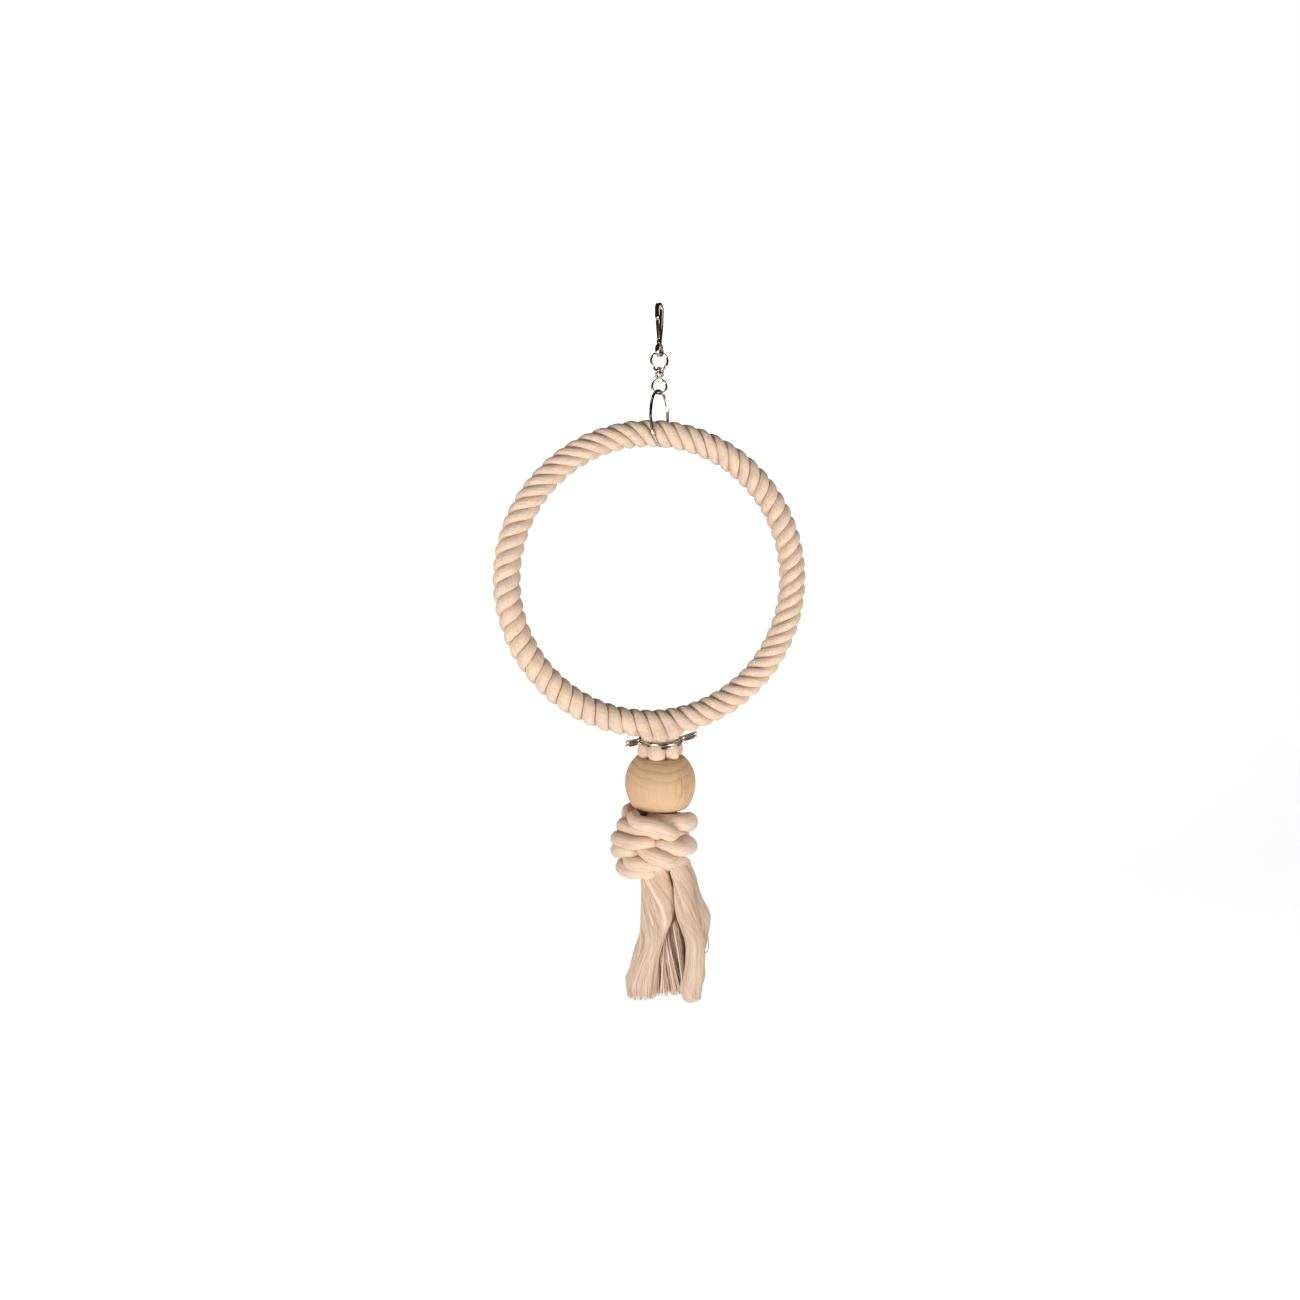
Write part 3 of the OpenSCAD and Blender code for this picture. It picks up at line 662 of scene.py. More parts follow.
print("points round a strand:", len(strand_section()[0]))

# %% [markdown]
# ## The ring's foot
# At the foot the two ends of the rope turn down into the neck, so the lay doesn't run
# round the rope there but flows downwards. Cutting the ring open would leave a seam. It
# is simpler to keep it whole and to draw its lower half down and apart over the neck.

# %% Foot of the ring
FUNNEL_HALF, FUNNEL_DROP, FUNNEL_SWELL = 15.0, 6.5, 7.6


def drawn_down(rings, ring_a, rope_a):
    x = RING_X + RING_R * np.cos(np.radians(ring_a)) - NECK_X
    reach = np.clip(1 - (x / FUNNEL_HALF) ** 2, 0, 1) ** 0.7 * (np.sin(np.radians(ring_a)) < 0)
    signed = np.mod(rope_a + 180, 360) - 180
    low = np.clip(1 - np.abs(signed) / 90, 0, 1)
    out = rings.copy()
    out[..., 2] -= reach[:, None] * FUNNEL_DROP * low**2 * (3 - 2 * low)
    out[..., 1] += reach[:, None] * FUNNEL_SWELL * np.sin(pi * low**1.6) * np.sign(signed)
    return out


print("drawn down by", FUNNEL_DROP, "mm")


# %% Ring strands
def ring_strand(name, k):
    steps = LAY_TURNS * LAY_STEPS
    ring_a = 270 + np.arange(steps) * 360 / steps
    section_a, section_r = strand_section()
    plump = 1 + wobble(10 + k, (31, 47, 66, 83), 0.01, ring_a)[:, None]
    ripple = 0.07 * np.sin(np.radians(section_a * 11 + 40 * k)) * (section_r > 5)
    r = (section_r + ripple)[None] * plump
    nudge = wobble(20 + k, (23, 38, 55), 1.6, ring_a)[:, None]
    rope_a = strand_centre(k, ring_a)[:, None] + section_a[None] + nudge
    rings = pressed(in_lay(ring_a[:, None], r, rope_a), hanger_path, HANGER_WIRE_R + 0.25)
    rings = drawn_down(rings, ring_a, rope_a)
    far = np.radians(ring_a - 270)[:, None] * RING_R
    turn = np.radians(rope_a)
    lay = np.stack([far + 0 * r, r * np.cos(turn) + 60 * k, r * np.sin(turn)], -1)
    # Painted shade: the colour darkens towards both edges of each back, where the grooves lie.
    painted_shade_and_tone = np.clip((np.abs(section_a[None]) - 51) / 8, 0, 1) ** 1.6 * 0.7 + 0 * r
    return grid_mesh(name, rings, True, lay, painted_shade_and_tone)


for k in range(3):
    name = f"ring_strand_{k + 1}_rope"
    mesh = ring_strand(name, k)
    place(name, mesh, rope_cotton, "ring", [f"ring_strand_{k + 1}"])
    print(name, len(mesh.vertices), "points")

# %% [markdown]
# ## Neck and knot strands
# Each rope end parts into three strands. They start inside the ring's foot, squeeze
# through the binding, swell again above the bead, pass its bore, and lie round the knot.
# A knot could be solved as real rope, but then its turns would not lie as they do in the
# photograph. So each strand gets a route of chosen places: the angle round the knot, the
# height, the distance from the knot's axis, and how thick the strand is there.

# %% Strand routes
NECK_R, NECK_SLOT = 10.0, 35
STRAND_R = 4.7
BINDING_Z = -345.4
KNOT_TOP = BEAD_FOOT - 5.0
KNOT_FOOT = KNOT_TOP - 42.0
NECK_ROUTE = [
    # distance from the neck's axis, turn round it, height, thickness
    (5.0, 0, RING_Z - RING_R - 3, 3.6), (NECK_R - 1.6, 0, BINDING_Z + 4, 4.8),
    (NECK_R - 0.6, 0, BINDING_Z, 5.0), (NECK_R + 2.4, 0, BINDING_Z - 6.5, 6.3),
    (NECK_R + 1.6, 3, BEAD_TOP + 0.8, 5.6), (NECK_R, 0, BEAD_TOP - 8, 4.7),
    (NECK_R, 0, BEAD_FOOT + 6, 4.7),
]
KNOT_ROUTES = [
    # angle, height, distance from the knot's axis, thickness
    [(65, -404, 14, 5), (85, -404, 21, 5.2), (110, -404.5, 27, 5.6), (145, -405.5, 26, 5.6),
     (175, -407, 21.5, 5.2), (203, -411, 20, 4.8), (228, -417, 21, 4.2), (250, -420, 25, 3.6),
     (270, -421.2, 27.6, 5), (290, -421.8, 28.2, 6.6), (314, -422.8, 28.4, 7.6), (347, -428, 28.5, 6.8),
     (380, -433.5, 28, 5.6), (450, -437.5, 28, 5.4), (510, -438.5, 26, 5.2), (545, -436, 24.5, 4.8),
     (575, -432, 27.8, 5.4), (600, -430.4, 28.4, 5.4), (628, -432.3, 26.5, 4.8), (650, -436.5, 21, 4.6),
     (670, -443, 13, 4.4)],
    [(125, -404, 14, 5), (160, -412, 18, 4.8), (192, -421, 22, 4.8), (216, -427, 25.5, 5.2),
     (244, -426.6, 28, 6), (268, -428.8, 28.4, 6.2), (288, -431.5, 27.6, 5.4), (302, -434, 24.5, 4.6),
     (318, -437, 21.5, 4.4), (336, -441, 22, 4.6), (356, -445.5, 25, 5.2), (380, -447.5, 26, 5.4),
     (420, -448.5, 24, 5), (460, -449, 16, 4.6)],
    [(185, -404, 14, 5), (208, -403.9, 22, 5.2), (222, -405.5, 27.5, 5.4), (238, -405.8, 29.3, 5.6),
     (255, -405.8, 29.4, 6), (277, -408, 29, 6), (296, -412, 27, 5),
     (310, -415.5, 24, 4.4), (332, -420, 22, 4.4), (352, -422.5, 24, 5), (380, -423.5, 28, 5.6),
     (450, -424.5, 28, 5.6), (505, -425, 29, 5.6), (532, -424, 30.2, 5.6), (560, -420, 30.4, 5.6),
     (586, -418.4, 29.4, 5.5), (603, -419.3, 27, 4.6),
     (625, -423, 22, 4.6), (645, -430, 17, 4.4), (665, -444, 12, 4.4)],
    [(245, -404, 15, 5), (258, -404, 22, 5), (273, -403.8, 27, 5.4), (297, -404.4, 29, 6.6),
     (322, -406.6, 28.8, 7.4), (347, -410, 28.4, 7.2), (378, -413.5, 28, 6), (410, -415, 28, 5.6),
     (450, -415.5, 28, 5.6), (500, -415.5, 28, 5.6), (540, -415, 28.3, 5.8), (562, -413, 28.6, 6.2),
     (588, -411.6, 28.6, 6.2), (612, -412.8, 28, 5.8), (632, -416, 25.5, 4.8), (652, -421, 20, 4.4),
     (680, -430, 16, 4.4), (700, -444, 12, 4.4)],
    [(305, -404, 14, 5), (335, -412, 19, 4.8), (365, -421, 21, 4.8), (395, -429, 24, 5),
     (425, -433, 27, 5.4), (450, -434.5, 28, 5.5), (500, -435.7, 28.6, 5.6), (530, -431, 30.5, 5.4),
     (552, -427.6, 31, 5.2), (570, -426.2, 29.5, 4.8), (588, -427.5, 25.5, 4.2), (610, -434, 18, 4.2),
     (630, -446, 12, 4.2)],
    [(5, -404, 14, 5), (40, -420, 17, 4.6), (60, -434, 21, 4.8), (85, -444, 25, 5.2),
     (120, -446.5, 27, 5.5), (160, -446, 27.6, 5.6), (189, -443.6, 27, 5.6), (214, -443.8, 25.4, 5.3),
     (236, -444.5, 19.5, 4.6), (260, -449, 13, 4.2)],
]


def about(x, r, a, z):
    """A place by its distance and angle round an upright axis"""
    a = radians(a)
    return [x + r * cos(a), r * sin(a), z]


print("places on the six routes:", sum(len(route) for route in KNOT_ROUTES))

# %% [markdown]
# ## Settle the knot
# Routes that are chosen run into each other here and there. Real strands can't, so
# for a number of rounds every two that overlap push each other away, each is evened out
# along its length and drawn back a little to its route, and none may enter the bead.

# %% Settle the knot
SETTLE_ROUNDS, PUSH, MOST_PUSH, HOMEWARD, EVENING = 90, 0.12, 0.5, 0.03, 0.3
TOUCH, SHOWN_R, OWN_STEPS = 0.95, 24, 14
BEAD_NEAR_R, BEAD_ROOM = 26, 0.4


def settle(lines):
    """Where two strands overlap they push each other away, a little at a time"""
    owner = np.concatenate([np.full(len(line), k) for k, line in enumerate(lines)])
    order = np.concatenate([np.arange(len(line)) for line in lines])
    spots, size = np.split(np.concatenate(lines), [3], 1)
    size = size[:, 0]
    shown = np.hypot(spots[:, 0] - KNOT_X, spots[:, 1]) > SHOWN_R
    own = (owner[:, None] == owner[None]) & (np.abs(order[:, None] - order[None]) < OWN_STEPS)
    free = shown[:, None] & shown[None] & ~own
    inner = np.append(owner[1:] == owner[:-1], False) & (order > 0)
    home = spots.copy()
    ceiling = BEAD_FOOT - BEAD_ROOM - size
    for _ in range(SETTLE_ROUNDS):
        gap = spots[:, None] - spots[None]
        far = np.linalg.norm(gap, axis=2) + 1e-6
        over = np.clip(TOUCH * (size[:, None] + size[None]) - far, 0, None) * free
        push = (gap / far[..., None] * over[..., None]).sum(1) * PUSH
        spots = spots + np.clip(push, -MOST_PUSH, MOST_PUSH) + HOMEWARD * (home - spots)
        even = spots.copy()
        even[1:-1] = (spots[:-2] + spots[2:]) / 2
        spots = np.where(inner[:, None], spots + EVENING * (even - spots), spots)
        under = np.hypot(spots[:, 0] - NECK_X, spots[:, 1]) < BEAD_NEAR_R
        spots[:, 2] = np.where(under & (order > 0), np.minimum(spots[:, 2], ceiling), spots[:, 2])
    return [np.column_stack([spots, size])[owner == k] for k in range(len(lines))]


knot_lines = settle([
    smooth([about(KNOT_X, r, a, z) + [girth] for a, z, r, girth in route], 5) for route in KNOT_ROUTES
])
print("knot settled:", sum(len(line) for line in knot_lines), "points")

# %% Neck and knot strands
NECK_GIRTH = [1.0, 1.0, 0.98, 1.16, 1.04, 1.0]
CLOSE, CHUNK = 1.3, 2000


def strand_line(k):
    """One strand from the ring's foot to the tassel, and how thick it is"""
    slot, more = 60 * (k + 0.5) + NECK_SLOT, NECK_GIRTH[k]
    neck = [about(NECK_X, r, slot + turn, z) + [girth * more] for r, turn, z, girth in NECK_ROUTE]
    both = smooth(np.concatenate([neck, knot_lines[k][2::2]]), 5)
    return rounded(both[:, :3], both[:, 3])


def crowding(points, own):
    """How close each point of a skin is to the other strands, 1 where they touch"""
    others = [strand for j, strand in enumerate(strands) if j != own]
    centres, sizes = (np.concatenate(both) for both in zip(*others))
    near = np.concatenate([
        (np.linalg.norm(points[i:i + CHUNK, None] - centres[None], axis=2) - sizes[None]).min(1)
        for i in range(0, len(points), CHUNK)
    ])
    return np.clip(1 - near / CLOSE, 0, 1)


strands = [strand_line(k) for k in range(6)]
for k, (line, girth) in enumerate(strands):
    def uneven(far, angle, k=k):
        slow = 0.03 * np.sin(far / 7.0 + k)[:, None] * np.cos(angle * 2 + k)[None]
        return 1 + slow + 0.012 * np.sin(angle * 9 + k + far[:, None] * 0.05)

    name = f"knot_strand_{k + 1}_rope"
    mesh = tube(name, line, girth, 36, start=(1, 0, 0), twist=1.2, swell=uneven)
    spots = np.empty(len(mesh.vertices) * 3)
    mesh.vertices.foreach_get("co", spots)
    spots = spots.reshape(-1, 3) / MM
    # Painted shade where a strand comes close to the other strands, below the bead.
    set_painted_shade_and_tone(mesh, crowding(spots, k) ** 1.5 * 0.55 * (spots[:, 2] < BEAD_FOOT))
    replaced = [f"knot_strand_{k + 1}"] + (["knot_core"] if k == 0 else [])
    place(name, mesh, rope_cotton, "ring", replaced)
print("six strands through neck and knot")

# %% [markdown]
# ## Knot's heart
# Under its outer turns a knot is full of the same strands. A soft barrel with shallow
# turns stands for them, so that no gap in the knot looks through to the floor.

# %% Knot heart
HEART_R, HEART_HALF = 21.0, 27


def inner_turns(far, angle):
    return 1 + 0.05 * np.cos(angle[None] * 6 + far[:, None] * 0.6)


heart_z = np.linspace(KNOT_TOP + 1, KNOT_FOOT - 2, 40)
heart_r = HEART_R * np.sqrt(np.clip(1 - ((heart_z - heart_z.mean()) / HEART_HALF) ** 2, 0.02, 1))
mesh = tube(
    "knot_heart", upright_line(KNOT_X, heart_z), heart_r, 60, start=(1, 0, 0), twist=4.0, swell=inner_turns
)
# Painted shade: the whole heart is drawn most of the way to the shade colour, so that gaps between the
# outer turns look dark.
set_painted_shade_and_tone(mesh, np.full(len(mesh.vertices), 0.8))
place("knot_heart", mesh, rope_cotton, "ring")
print("knot heart from", round(KNOT_TOP), "to", round(KNOT_FOOT))

# %% [markdown]
# ## Binding
# One wire goes twice round the neck, and pliers crimp it into an ear on each side, so
# that it can't loosen. The line follows its solid: a flat turn, a step down behind the
# neck, and a second flat turn.

# %% Binding
BINDING_WIRE_R, BINDING_PITCH = 1.1, 2.7
BINDING_R = NECK_R + STRAND_R + 0.6 + BINDING_WIRE_R
EAR_LEFT, EAR_RIGHT = 27.0, 29.0
EAR_LIFT, EAR_DROP, FRONT_DIP = 3.8, 2.0, 2.0


def binding_line():
    half = BINDING_WIRE_R + 0.3
    root = BINDING_R + half

    def arc(low, high):
        turns = np.radians(range(low, high + 1, 20))
        return [[BINDING_R * cos(a), BINDING_R * sin(a)] for a in turns]

    def ear(side, tip):
        corners = [(root, -half), (tip - half, -half), (tip, 0), (tip - half, half), (root, half)]
        return [[side * x, side * y] for x, y in corners]

    turn = arc(200, 340) + ear(1, EAR_RIGHT) + arc(20, 160) + ear(-1, EAR_LEFT)
    n = len(turn)
    points = []
    for i in range(3, 2 * n - 2):
        x, y = turn[(i + 16) % n]
        rise = EAR_LIFT * max(0, x - BINDING_R) / (EAR_RIGHT - BINDING_R)
        rise -= EAR_DROP * max(0, -x - BINDING_R) / (EAR_LEFT - BINDING_R)
        level = max(-1, min(1, (n - i) / 3))
        dip = FRONT_DIP * max(0, -y / BINDING_R) ** 2
        points.append([NECK_X + x, y, BINDING_Z + rise - dip + BINDING_PITCH / 2 * level])
    return smooth(points, 5)


bent_wire("binding_wire", binding_line(), BINDING_WIRE_R, 18, "ring", "binding_ring", (0, 0, 1))

# %% [markdown]
# ## Bead
# A turned bead is a profile spun round its axis. The profile is two arcs that meet at the
# widest line, a flat at each end, the bore, and a small rounding wherever two of them
# meet, left by the sandpaper.

# %% Bead
BEAD_R, BEAD_TOP_R, BEAD_FOOT_R, BORE_R = 28.3, 19.0, 21.9, 15.0
UPPER_H, LOWER_H, EASE, SPIN_STEPS = 20.5, 19.5, 1.1, 160
BEAD_MID = BEAD_FOOT + LOWER_H


def side_arc(face_r, height, sign):
    """The arc from the widest line to one face"""
    c = (BEAD_R**2 - face_r**2 - height**2) / (2 * (BEAD_R - face_r))
    z = np.linspace(0, height, 26)
    return [(c + sqrt((BEAD_R - c) ** 2 - h**2), sign * h) for h in z]


def eased_corners(points):
    """Each marked corner of a profile becomes a short arc"""
    out, n = [], len(points)
    for i, (p, sharp) in enumerate(points):
        if not sharp:
            out.append(p)
            continue
        a, b, c = np.array(points[i - 1][0]), np.array(p), np.array(points[(i + 1) % n][0])
        u, v = (a - b) / np.linalg.norm(a - b), (c - b) / np.linalg.norm(c - b)
        for s in np.linspace(0, 1, 6):
            out.append(b + u * EASE * (1 - s) ** 2 + v * EASE * s**2)
    return np.array(out)


def bead_profile():
    upper = side_arc(BEAD_TOP_R, UPPER_H, 1)
    lower = side_arc(BEAD_FOOT_R, LOWER_H, -1)[::-1]
    points = [(p, False) for p in lower[1:-1] + upper[:-2]]
    points += [(upper[-1], True), ((BORE_R, UPPER_H), True), ((BORE_R, -LOWER_H), True), (lower[0], True)]
    return eased_corners(points)


profile = bead_profile()
r, z = profile.T[:, None]
spin = np.arange(SPIN_STEPS)[:, None] * 2 * pi / SPIN_STEPS
rings = np.stack([NECK_X + r * np.cos(spin), r * np.sin(spin), BEAD_MID + z + 0 * spin], -1)
mesh = grid_mesh("bead_turned", rings, True)
place("bead_turned", mesh, wood, "bead", ["wooden_bead"])
print("bead profile:", len(profile), "points, spun in", SPIN_STEPS, "steps")

# %% [markdown]
# ## Tassel
# Below the knot each strand is loosened to its yarns and brushed, and the yarns gather in
# six masses that overlap. Hair or thousands of free yarns would be heavy and have no
# bulk. So each mass is a hull that follows a short table of places, with ridges that
# swirl down it as locks of yarn do, coarse ones and fine ones on top of each other. The
# random numbers have a seed, so every run gives the same tassel.

# %% Tassel masses
FACING = radians(-10)
MASSES = [
    # height, across the picture, depth, half width, half depth
    [(-440, 21, -3, 4, 4), (-445, 24, -3, 5, 5.5), (-452, 27.3, -4, 5.2, 7), (-462, 28.5, -5, 6.4, 8),
     (-471, 31, -5, 7.2, 8.6), (-481, 35, -5, 8.2, 9), (-488, 36, -5, 7.9, 9), (-499, 35, -5, 7.2, 9),
     (-511, 33, -5, 7, 9), (-520, 32.2, -5, 7.2, 9), (-530, 32, -5, 7.6, 9.4), (-539.5, 30, -5, 7, 9)],
    [(-441, 16, 8, 5, 5), (-455, 21, 10, 8, 8), (-472, 25, 13, 9, 9), (-490, 28, 15, 9.5, 9.5),
     (-515, 27, 16, 9.5, 9.5), (-540, 26, 16, 10, 10)],
    [(-441, 4, 10, 5, 5), (-455, 6, 12, 8, 8), (-472, 9, 9, 10, 8.5), (-490, 11, 6, 11.5, 8.5),
     (-515, 11.5, 4, 12, 8.5), (-541.5, 11.5, 3, 12, 9)],
    [(-441, -4, 8, 5, 5), (-455, -1.5, 11, 8, 8), (-472, -0.5, 14, 9, 9), (-490, -0.5, 15, 9.5, 9.5),
     (-508, -2.5, 16, 10.5, 10), (-522, -6, 17, 11.5, 10), (-540, -8.5, 17, 12, 10.5)],
    [(-440, 0.5, -9, 6, 6), (-446, 0.6, -10, 9.6, 8), (-453, 0.8, -11, 12, 9.5), (-462, 2.3, -12, 13.2, 10),
     (-472, 2.3, -12, 13.3, 10), (-483, 1.2, -12, 12.7, 10), (-491, -0.8, -12, 11, 9.6),
     (-500, -2.6, -12, 9.4, 9.2), (-507, -4.4, -12, 9, 9.2), (-514, -7, -12, 9.8, 9.4),
     (-523, -9.4, -12, 10.8, 9.6), (-531, -10.9, -12, 12, 9.8), (-541, -10.4, -12, 11.2, 9.4)],
    [(-437, 15, -10, 5, 5), (-444, 18.2, -12, 7, 7.6), (-454, 22, -13, 7.8, 9), (-462, 22.4, -14, 8, 9.4),
     (-472, 23.6, -14, 8.4, 9.6), (-481, 25.6, -14, 8.6, 9.6), (-488, 27.6, -14, 8.2, 9.2),
     (-499, 31, -14, 7.7, 9), (-511, 31.6, -13, 7.4, 9), (-526, 30.4, -13, 7.8, 9),
     (-536, 28, -13, 8.4, 9), (-542.5, 28.6, -13, 7, 8)],
]
HULL_STEPS, HULL_SIDES = 9, 108
LOCKS = [
    # count, how far they swell, how much shade is painted between them
    (4, 0.07, 0.6), (7, 0.055, 0.48), (13, 0.035, 0.4), (29, 0.022, 0.3),
]


def facing(u, v, z):
    """From across the picture and depth to the frame, both seen from the camera's side"""
    x = KNOT_X + u * cos(FACING) - v * sin(FACING)
    return np.stack([x, u * sin(FACING) + v * cos(FACING), z + 0 * x], -1)


def lock_shape(k):
    """One mass of yarn: its rows, how its locks swirl down it, and how they swell"""
    rows = smooth(MASSES[k], HULL_STEPS)
    phases = np.random.default_rng(40 + k).uniform(0, 6.28, len(LOCKS))

    def swirl(s):
        return 2.6 * (1 - np.exp(-3.2 * s)) + 0.16 * np.sin(6 * s + k)

    def swell(a, s):
        """How the locks swell, and how much shade is painted where a place lies between them"""
        out = np.zeros(np.broadcast(a, s).shape)
        valley_shade = out.copy()
        for (count, size, dark), phase in zip(LOCKS, phases):
            turn = (a - swirl(s)) * count / 2 + phase
            turn = turn + 0.6 * np.sin(s * 5 + phase) + 0.25 * np.sin(s * 13 + a)
            ridge = np.abs(np.sin(turn))
            here = 0.55 + 0.45 * np.sin(a * 2 + s * 8 + 2 * phase)
            out = out + size * here * (ridge ** 0.7 - 0.75)
            valley_shade = np.maximum(valley_shade, dark * here * np.clip(1 - 3 * ridge, 0, 1))
        grow = np.clip(0.3 + s * 1.2, 0.3, 1.2)
        return out * grow, valley_shade * np.clip(grow, 0, 1)

    return rows, swirl, swell


def on_mass(rows, s, a, r):
    """A place on a mass: how far down, the angle round it, the distance as a share"""
    at = s * (len(rows) - 1)
    z, u, v, w, t = (np.interp(at, np.arange(len(rows)), rows[:, c]) for c in range(5))
    return facing(u + w * r * np.cos(a), v + t * r * np.sin(a), z)


print("tassel masses:", len(MASSES))

# %% Tassel hulls
HULL_FIT, RAGGED_RINGS, RAGGED_MEAN, RAGGED_BY, END_SHADE = 0.97, 6, 1.2, 1.3, 0.5
HULL_ENDS = ((0.93, 0.5), (0.8, 0.9), (0.4, 1.1))
YARN_SIDES, YARN_TIP = 5, 0.35


def hull_mesh(name, k):
    """The bulk of one mass, which ends raggedly"""
    rows, swirl, swell = lock_shape(k)
    share = np.linspace(0, 1, len(rows))[:, None]
    angle = np.arange(HULL_SIDES)[None] * 2 * pi / HULL_SIDES
    bumps, valley_shade = swell(angle, share)
    rings = on_mass(rows, share + 0 * angle, angle + 0 * share, HULL_FIT + bumps)
    ragged = RAGGED_MEAN + RAGGED_BY * np.random.default_rng(70 + k).normal(size=HULL_SIDES)
    rings[-RAGGED_RINGS:, :, 2] += np.linspace(0, 1, RAGGED_RINGS)[:, None] ** 2 * ragged
    cap = rings[-1].mean(0)
    ends = [cap + (rings[-1] - cap) * f + [0, 0, -d] for f, d in HULL_ENDS]
    rings = np.concatenate([rings, ends])
    # Painted shade between the locks, and on the ragged ends of the mass.
    painted_shade_and_tone = np.concatenate([valley_shade, np.full((len(ends), HULL_SIDES), END_SHADE)])
    far = np.linspace(0, 100, len(rings))[:, None]
    turned = angle - swirl(np.concatenate([share, np.ones((len(ends), 1))]))
    lay = np.stack([far + 0 * turned, 10 * np.cos(turned) + 40 * k, 10 * np.sin(turned)], -1)
    return grid_mesh(name, rings, False, lay, painted_shade_and_tone)


def yarns_mesh(name, lines, radii, darker):
    """Many fine tubes in one mesh"""
    points, faces, lays = [], [], []
    base, n = 0, YARN_SIDES
    for number, (line, r) in enumerate(zip(lines, radii)):
        m = len(line)
        angle, ways = spokes(line, n, False, (1, 0.2, 0.1))
        girth = np.full(m, r)
        girth[[0, -1]] *= YARN_TIP
        points.append((line[:, None] + girth[:, None, None] * ways).reshape(-1, 3))
        faces += grid_faces(m, n, False, base)
        far = np.linspace(0, 90, m)[:, None] + 0 * angle[None]
        across, depth = r * np.cos(angle) + number * 3.1, r * np.sin(angle) + number * 1.7
        lays.append(np.stack([far, across + 0 * far, depth + 0 * far], -1).reshape(-1, 3))
        base += m * n
    painted_shade_and_tone = np.repeat(np.concatenate(darker), n)
    return skin(name, np.concatenate(points), faces, np.concatenate(lays), painted_shade_and_tone)


print("hull and yarn meshes ready")

# %% [markdown]
# ## Tassel yarns
# The hulls alone look like carved wood. Fine yarns lie on them and follow their swirl,
# each with an end of its own, and more of them start near the foot, where the brush went
# last. Thicker plies hang between the masses, and a few yarns stray at the side.

# %% Tassel yarns
YARNS, END_YARNS, PLIES = 260, 220, 120
STRAY = [
    [(-487, 14, -8), (-500, 16.5, -12), (-515, 19, -13), (-530, 21, -13), (-540, 21.5, -12)],
    [(-486, 15, -8), (-501, 18, -11), (-518, 20.5, -12), (-537, 22.5, -12)],
    [(-497, 41, -5), (-503, 42.5, -6), (-509, 42.2, -7), (-512, 40, -8), (-509, 38, -8)],
    [(-530, 25, -16), (-540, 26, -17), (-545, 27.5, -17)],
]


def surface_yarn(rng, shape, low):
    """One yarn that lies on a mass and follows its swirl, with an end of its own"""
    rows, swirl, swell = shape
    start = rng.uniform(0, 6.28)
    high = 1.03 - 0.11 * rng.uniform(0, 1) ** 2
    s = np.linspace(low, high, 30)
    a = start + swirl(s) + 0.09 * np.sin(s * rng.uniform(5, 11) + start) + rng.normal() * 0.22 * s
    bumps, valley_shade = swell(a, s)
    fan = 0.05 * rng.uniform(0, 1) * np.clip((s - 0.8) / 0.2, 0, 1)
    line = on_mass(rows, np.minimum(s, 1), a, 0.985 + bumps + fan + 0.02 * rng.uniform(-1, 1))
    line[:, 2] -= np.clip(s - 1, 0, 1) * 110
    # Painted shade where the yarn lies between locks, plus a random tone.
    return line, np.clip(valley_shade * 0.8 + rng.uniform(0, 0.28), 0, 0.8)


def inner_ply(rng):
    """A thicker ply that hangs between the masses and shows where they part"""
    start = np.array([-462 - rng.uniform(0, 14), rng.uniform(0, 10), rng.uniform(-4, 3)])
    end = np.array([-542.5 - rng.uniform(0, 3.5), rng.uniform(-3, 23), rng.uniform(-12, -1)])
    t = np.linspace(0, 1, 24)[:, None]
    bend = rng.uniform(-1.2, 1.2, 2)
    spots = start + (end - start) * np.concatenate([t, t**1.2, t**0.8], 1)
    spots[:, 1:] += bend * np.sin(t * rng.uniform(3, 7))
    return facing(spots[:, 1], spots[:, 2], spots[:, 0]), np.full(24, rng.uniform(0, 0.3))


for k in range(6):
    rng = np.random.default_rng(90 + k)
    shape = lock_shape(k)
    name = f"tassel_mass_{k + 1}"
    place(name, hull_mesh(name, k), tassel_cotton, "ring", [f"tassel_bundle_{k + 1}"])
    starts = [rng.uniform(0, 0.6) for y in range(YARNS)]
    starts += [rng.uniform(0.62, 0.9) for y in range(END_YARNS)]
    lines, darker = map(list, zip(*[surface_yarn(rng, shape, low) for low in starts]))
    radii = [rng.uniform(0.18, 0.36) for low in starts]
    if k == 2:
        for ply in range(PLIES):
            line, grey = inner_ply(rng)
            lines.append(line)
            darker.append(grey)
            radii.append(rng.uniform(0.4, 1.0))
    if k == 5:
        for route in STRAY:
            rows = smooth(route, 6)
            lines.append(facing(rows[:, 1], rows[:, 2], rows[:, 0]))
            radii.append(0.9 if len(lines) <= len(starts) + 2 else 0.4)
            darker.append(np.full(len(rows), 0.1))
    name = f"tassel_yarns_{k + 1}"
    place(name, yarns_mesh(name, lines, radii, darker), tassel_cotton, "ring")
print("tassel:", 6 * (YARNS + END_YARNS), "surface yarns on six masses,", PLIES, "plies between them")

# %% [markdown]
# ## Steel hoop
# The hoop is hidden inside the rope, and keeps its solid. It still gets its own finish.

# %% Hoop
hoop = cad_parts["core_ring"]
hoop.data.materials.clear()
hoop.data.materials.append(hoop_steel)
print("hoop finished")

# %% [markdown]
# ## Floor and backdrop
# A plain sweep of white paper: a floor below the perch that bends up into a backdrop. More
# lamps could make it white, but they would also bleach the rope. So the paper glows only
# where the camera, a reflection or clear material sees it, and gives the rope no light.

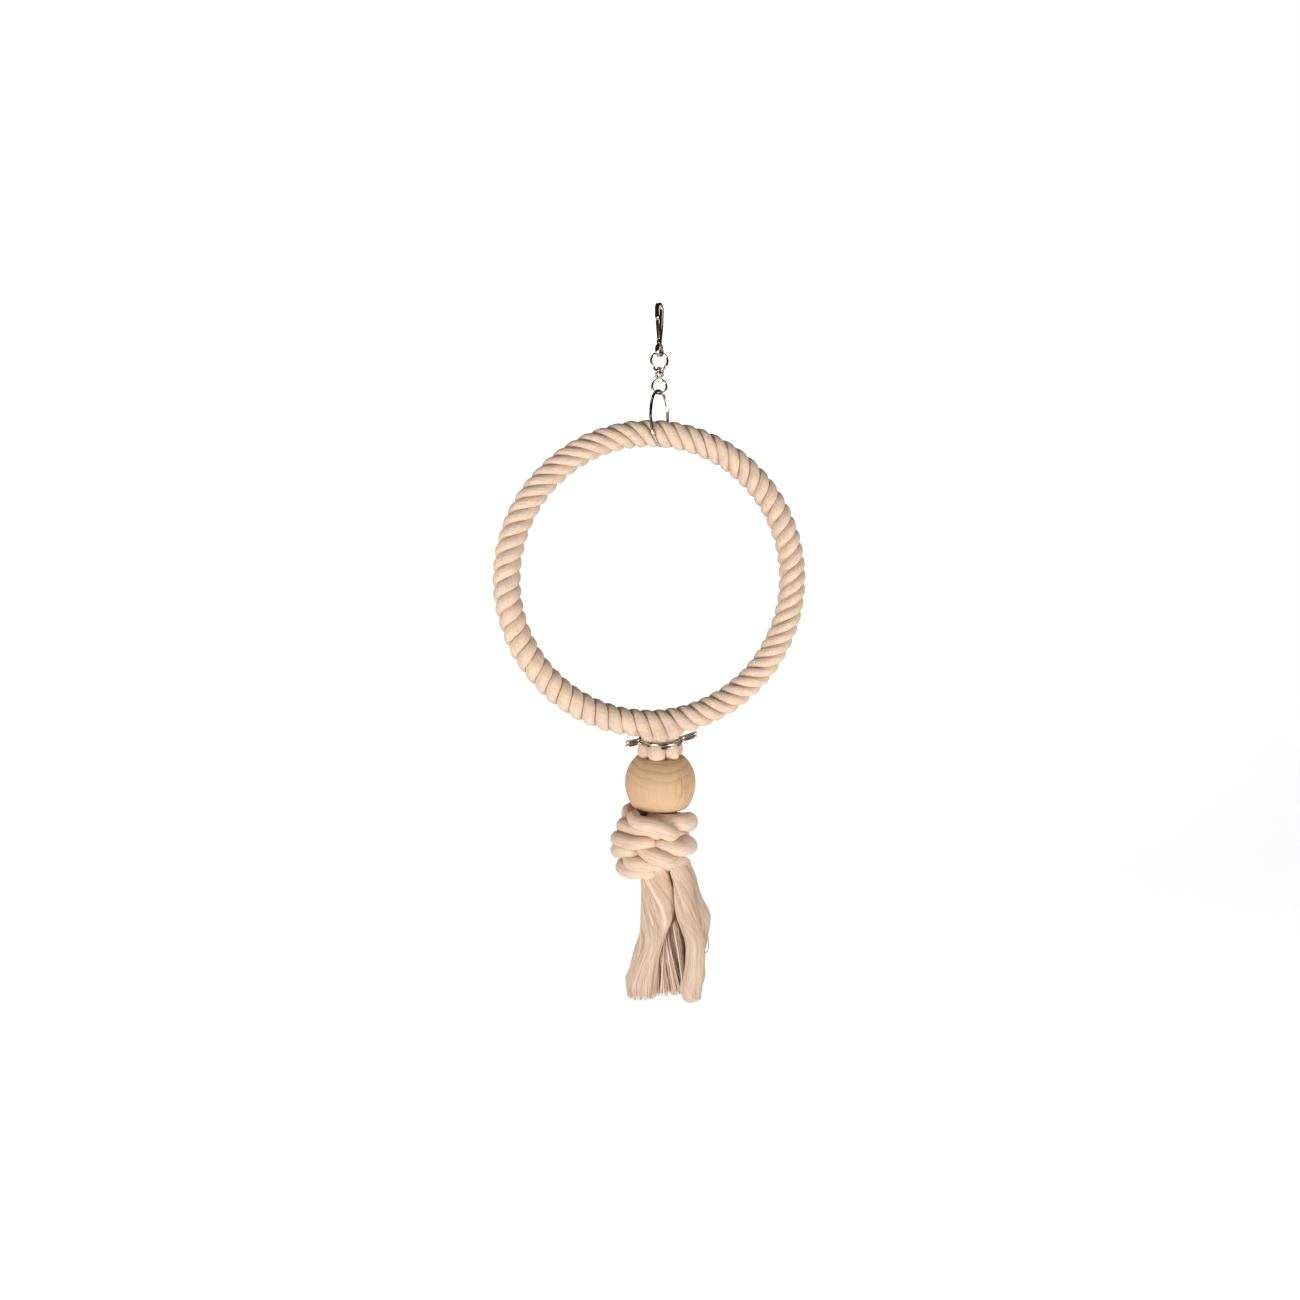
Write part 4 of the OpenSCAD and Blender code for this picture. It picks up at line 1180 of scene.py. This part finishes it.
# %% Sweep
FLOOR_Z, SWEEP_FRONT, SWEEP_TOP, SWEEP_HALF = -0.8, -0.45, 3.0, 1.9
BEND_START, BEND_R = 0.9, 0.8
PAPER, PAPER_GLOW = (0.92, 0.92, 0.92, 1), 0.8
profile = [(y, 0.0) for y in (SWEEP_FRONT, 0.0, BEND_START)]
for a in np.linspace(0.1, pi / 2, 16):
    profile.append((BEND_START + BEND_R * sin(a), BEND_R - BEND_R * cos(a)))
profile.append((BEND_START + BEND_R, SWEEP_TOP))
verts = [(x, y, FLOOR_Z + z) for y, z in profile for x in (-SWEEP_HALF, SWEEP_HALF)]
faces = [(2 * i, 2 * i + 1, 2 * i + 3, 2 * i + 2) for i in range(len(profile) - 1)]
mesh = bpy.data.meshes.new("sweep")
mesh.from_pydata(verts, [], faces)
mesh.shade_smooth()
sweep = in_scene("sweep", mesh)
paper, tree, shader = start_material(
    "paper", Roughness=0.9, Specular_IOR_Level=0.0, Base_Color=PAPER, Emission_Color=(1, 1, 1, 1)
)
path = add_node(tree, "LightPath").outputs
seen = sums(tree, "MAXIMUM", path["Is Camera Ray"], path["Is Glossy Ray"])
seen = sums(tree, "MAXIMUM", seen, path["Is Transmission Ray"])
tree.links.new(sums(tree, "MULTIPLY", seen, PAPER_GLOW), shader.inputs["Emission Strength"])
mesh.materials.append(paper)
print("sweep at", FLOOR_Z)

# %% [markdown]
# ## Light
# In the photograph the rope is lit from low in front, and its upper edges are the darker
# ones. Two broad soft lamps stand low, one at each side. The world adds soft light that
# is weaker from above and from the front. Polished metal mirrors its room, so for
# reflections alone the world is a dark room with a few bright soft boxes. The camera, and
# clear material, see it white.

# %% Lamps
LAMPS = [
    # name, place, aim, width in metres, watts
    ("key", (-0.85, -1.0, -0.7), (0, 0, -0.27), 0.8, 14.5),
    ("fill", (0.95, -0.85, -0.65), (0, 0, -0.3), 0.9, 10.5),
]
for name, spot, aim, width, watts in LAMPS:
    data = bpy.data.lights.new(name, "AREA")
    data.shape, data.size, data.energy = "DISK", width, watts
    lamp = in_scene(name, data)
    lamp.location = spot
    lamp.rotation_euler = (Vector(aim) - Vector(spot)).to_track_quat("-Z", "Y").to_euler()
    print(f"{name} lamp: {watts} W")

# %% World
SOFT_BOXES = [
    # direction, half width in degrees, brightness
    ((-0.5, -0.85, -0.12), 15, 1.0),
    ((0.85, -0.5, 0.08), 8, 0.9),
    ((-0.1, -0.55, 0.83), 9, 0.9),
    ((0.1, -0.5, -0.86), 9, 0.8),
]
BOX_EDGE, DARK_ROOM, WHITE = 2, (0.025, 0.017, 0.011), (1, 1, 1)
world = bpy.data.worlds.new("room")
bpy.context.scene.world = world
world.use_nodes = True
tree = world.node_tree
tree.nodes.clear()
path = add_node(tree, "LightPath").outputs
ray = add_node(tree, "TexCoord").outputs["Generated"]


def towards(*direction):
    """1 where a ray goes straight in this direction, 0 across it"""
    way = Vector(direction).normalized()
    return add_node(tree, "VectorMath", {"operation": "DOT_PRODUCT"}, i0=ray, i1=way).outputs["Value"]


behind = towards(0, 1, 0)
bright = spread(tree, behind, 0.78, 0.86)
for direction, width, level in SOFT_BOXES:
    edge, full = cos(radians(width + BOX_EDGE)), cos(radians(width))
    bright = sums(tree, "MAXIMUM", bright, spread(tree, towards(*direction), edge, full, 0.0, level))
mirror = ramp(tree, bright, [(0, DARK_ROOM), (1, WHITE)])
around = spread(tree, behind, -0.8, 0.9, 0.38, 1.1)
around = sums(tree, "MULTIPLY", around, spread(tree, towards(0, 0, 1), -0.1, 0.6, 1.0, 0.1))
soft = mix(tree, path["Is Glossy Ray"], around, mirror)
through = sums(tree, "MAXIMUM", path["Is Camera Ray"], path["Is Transmission Ray"])
shown = mix(tree, through, soft, (*WHITE, 1))
background = add_node(tree, "Background", None, Color=shown, Strength=1.0)
add_node(tree, "OutputWorld", None, Surface=background.outputs["Background"])
bpy.context.scene.view_settings.view_transform = "Standard"
print("world ready:", len(SOFT_BOXES), "soft boxes")
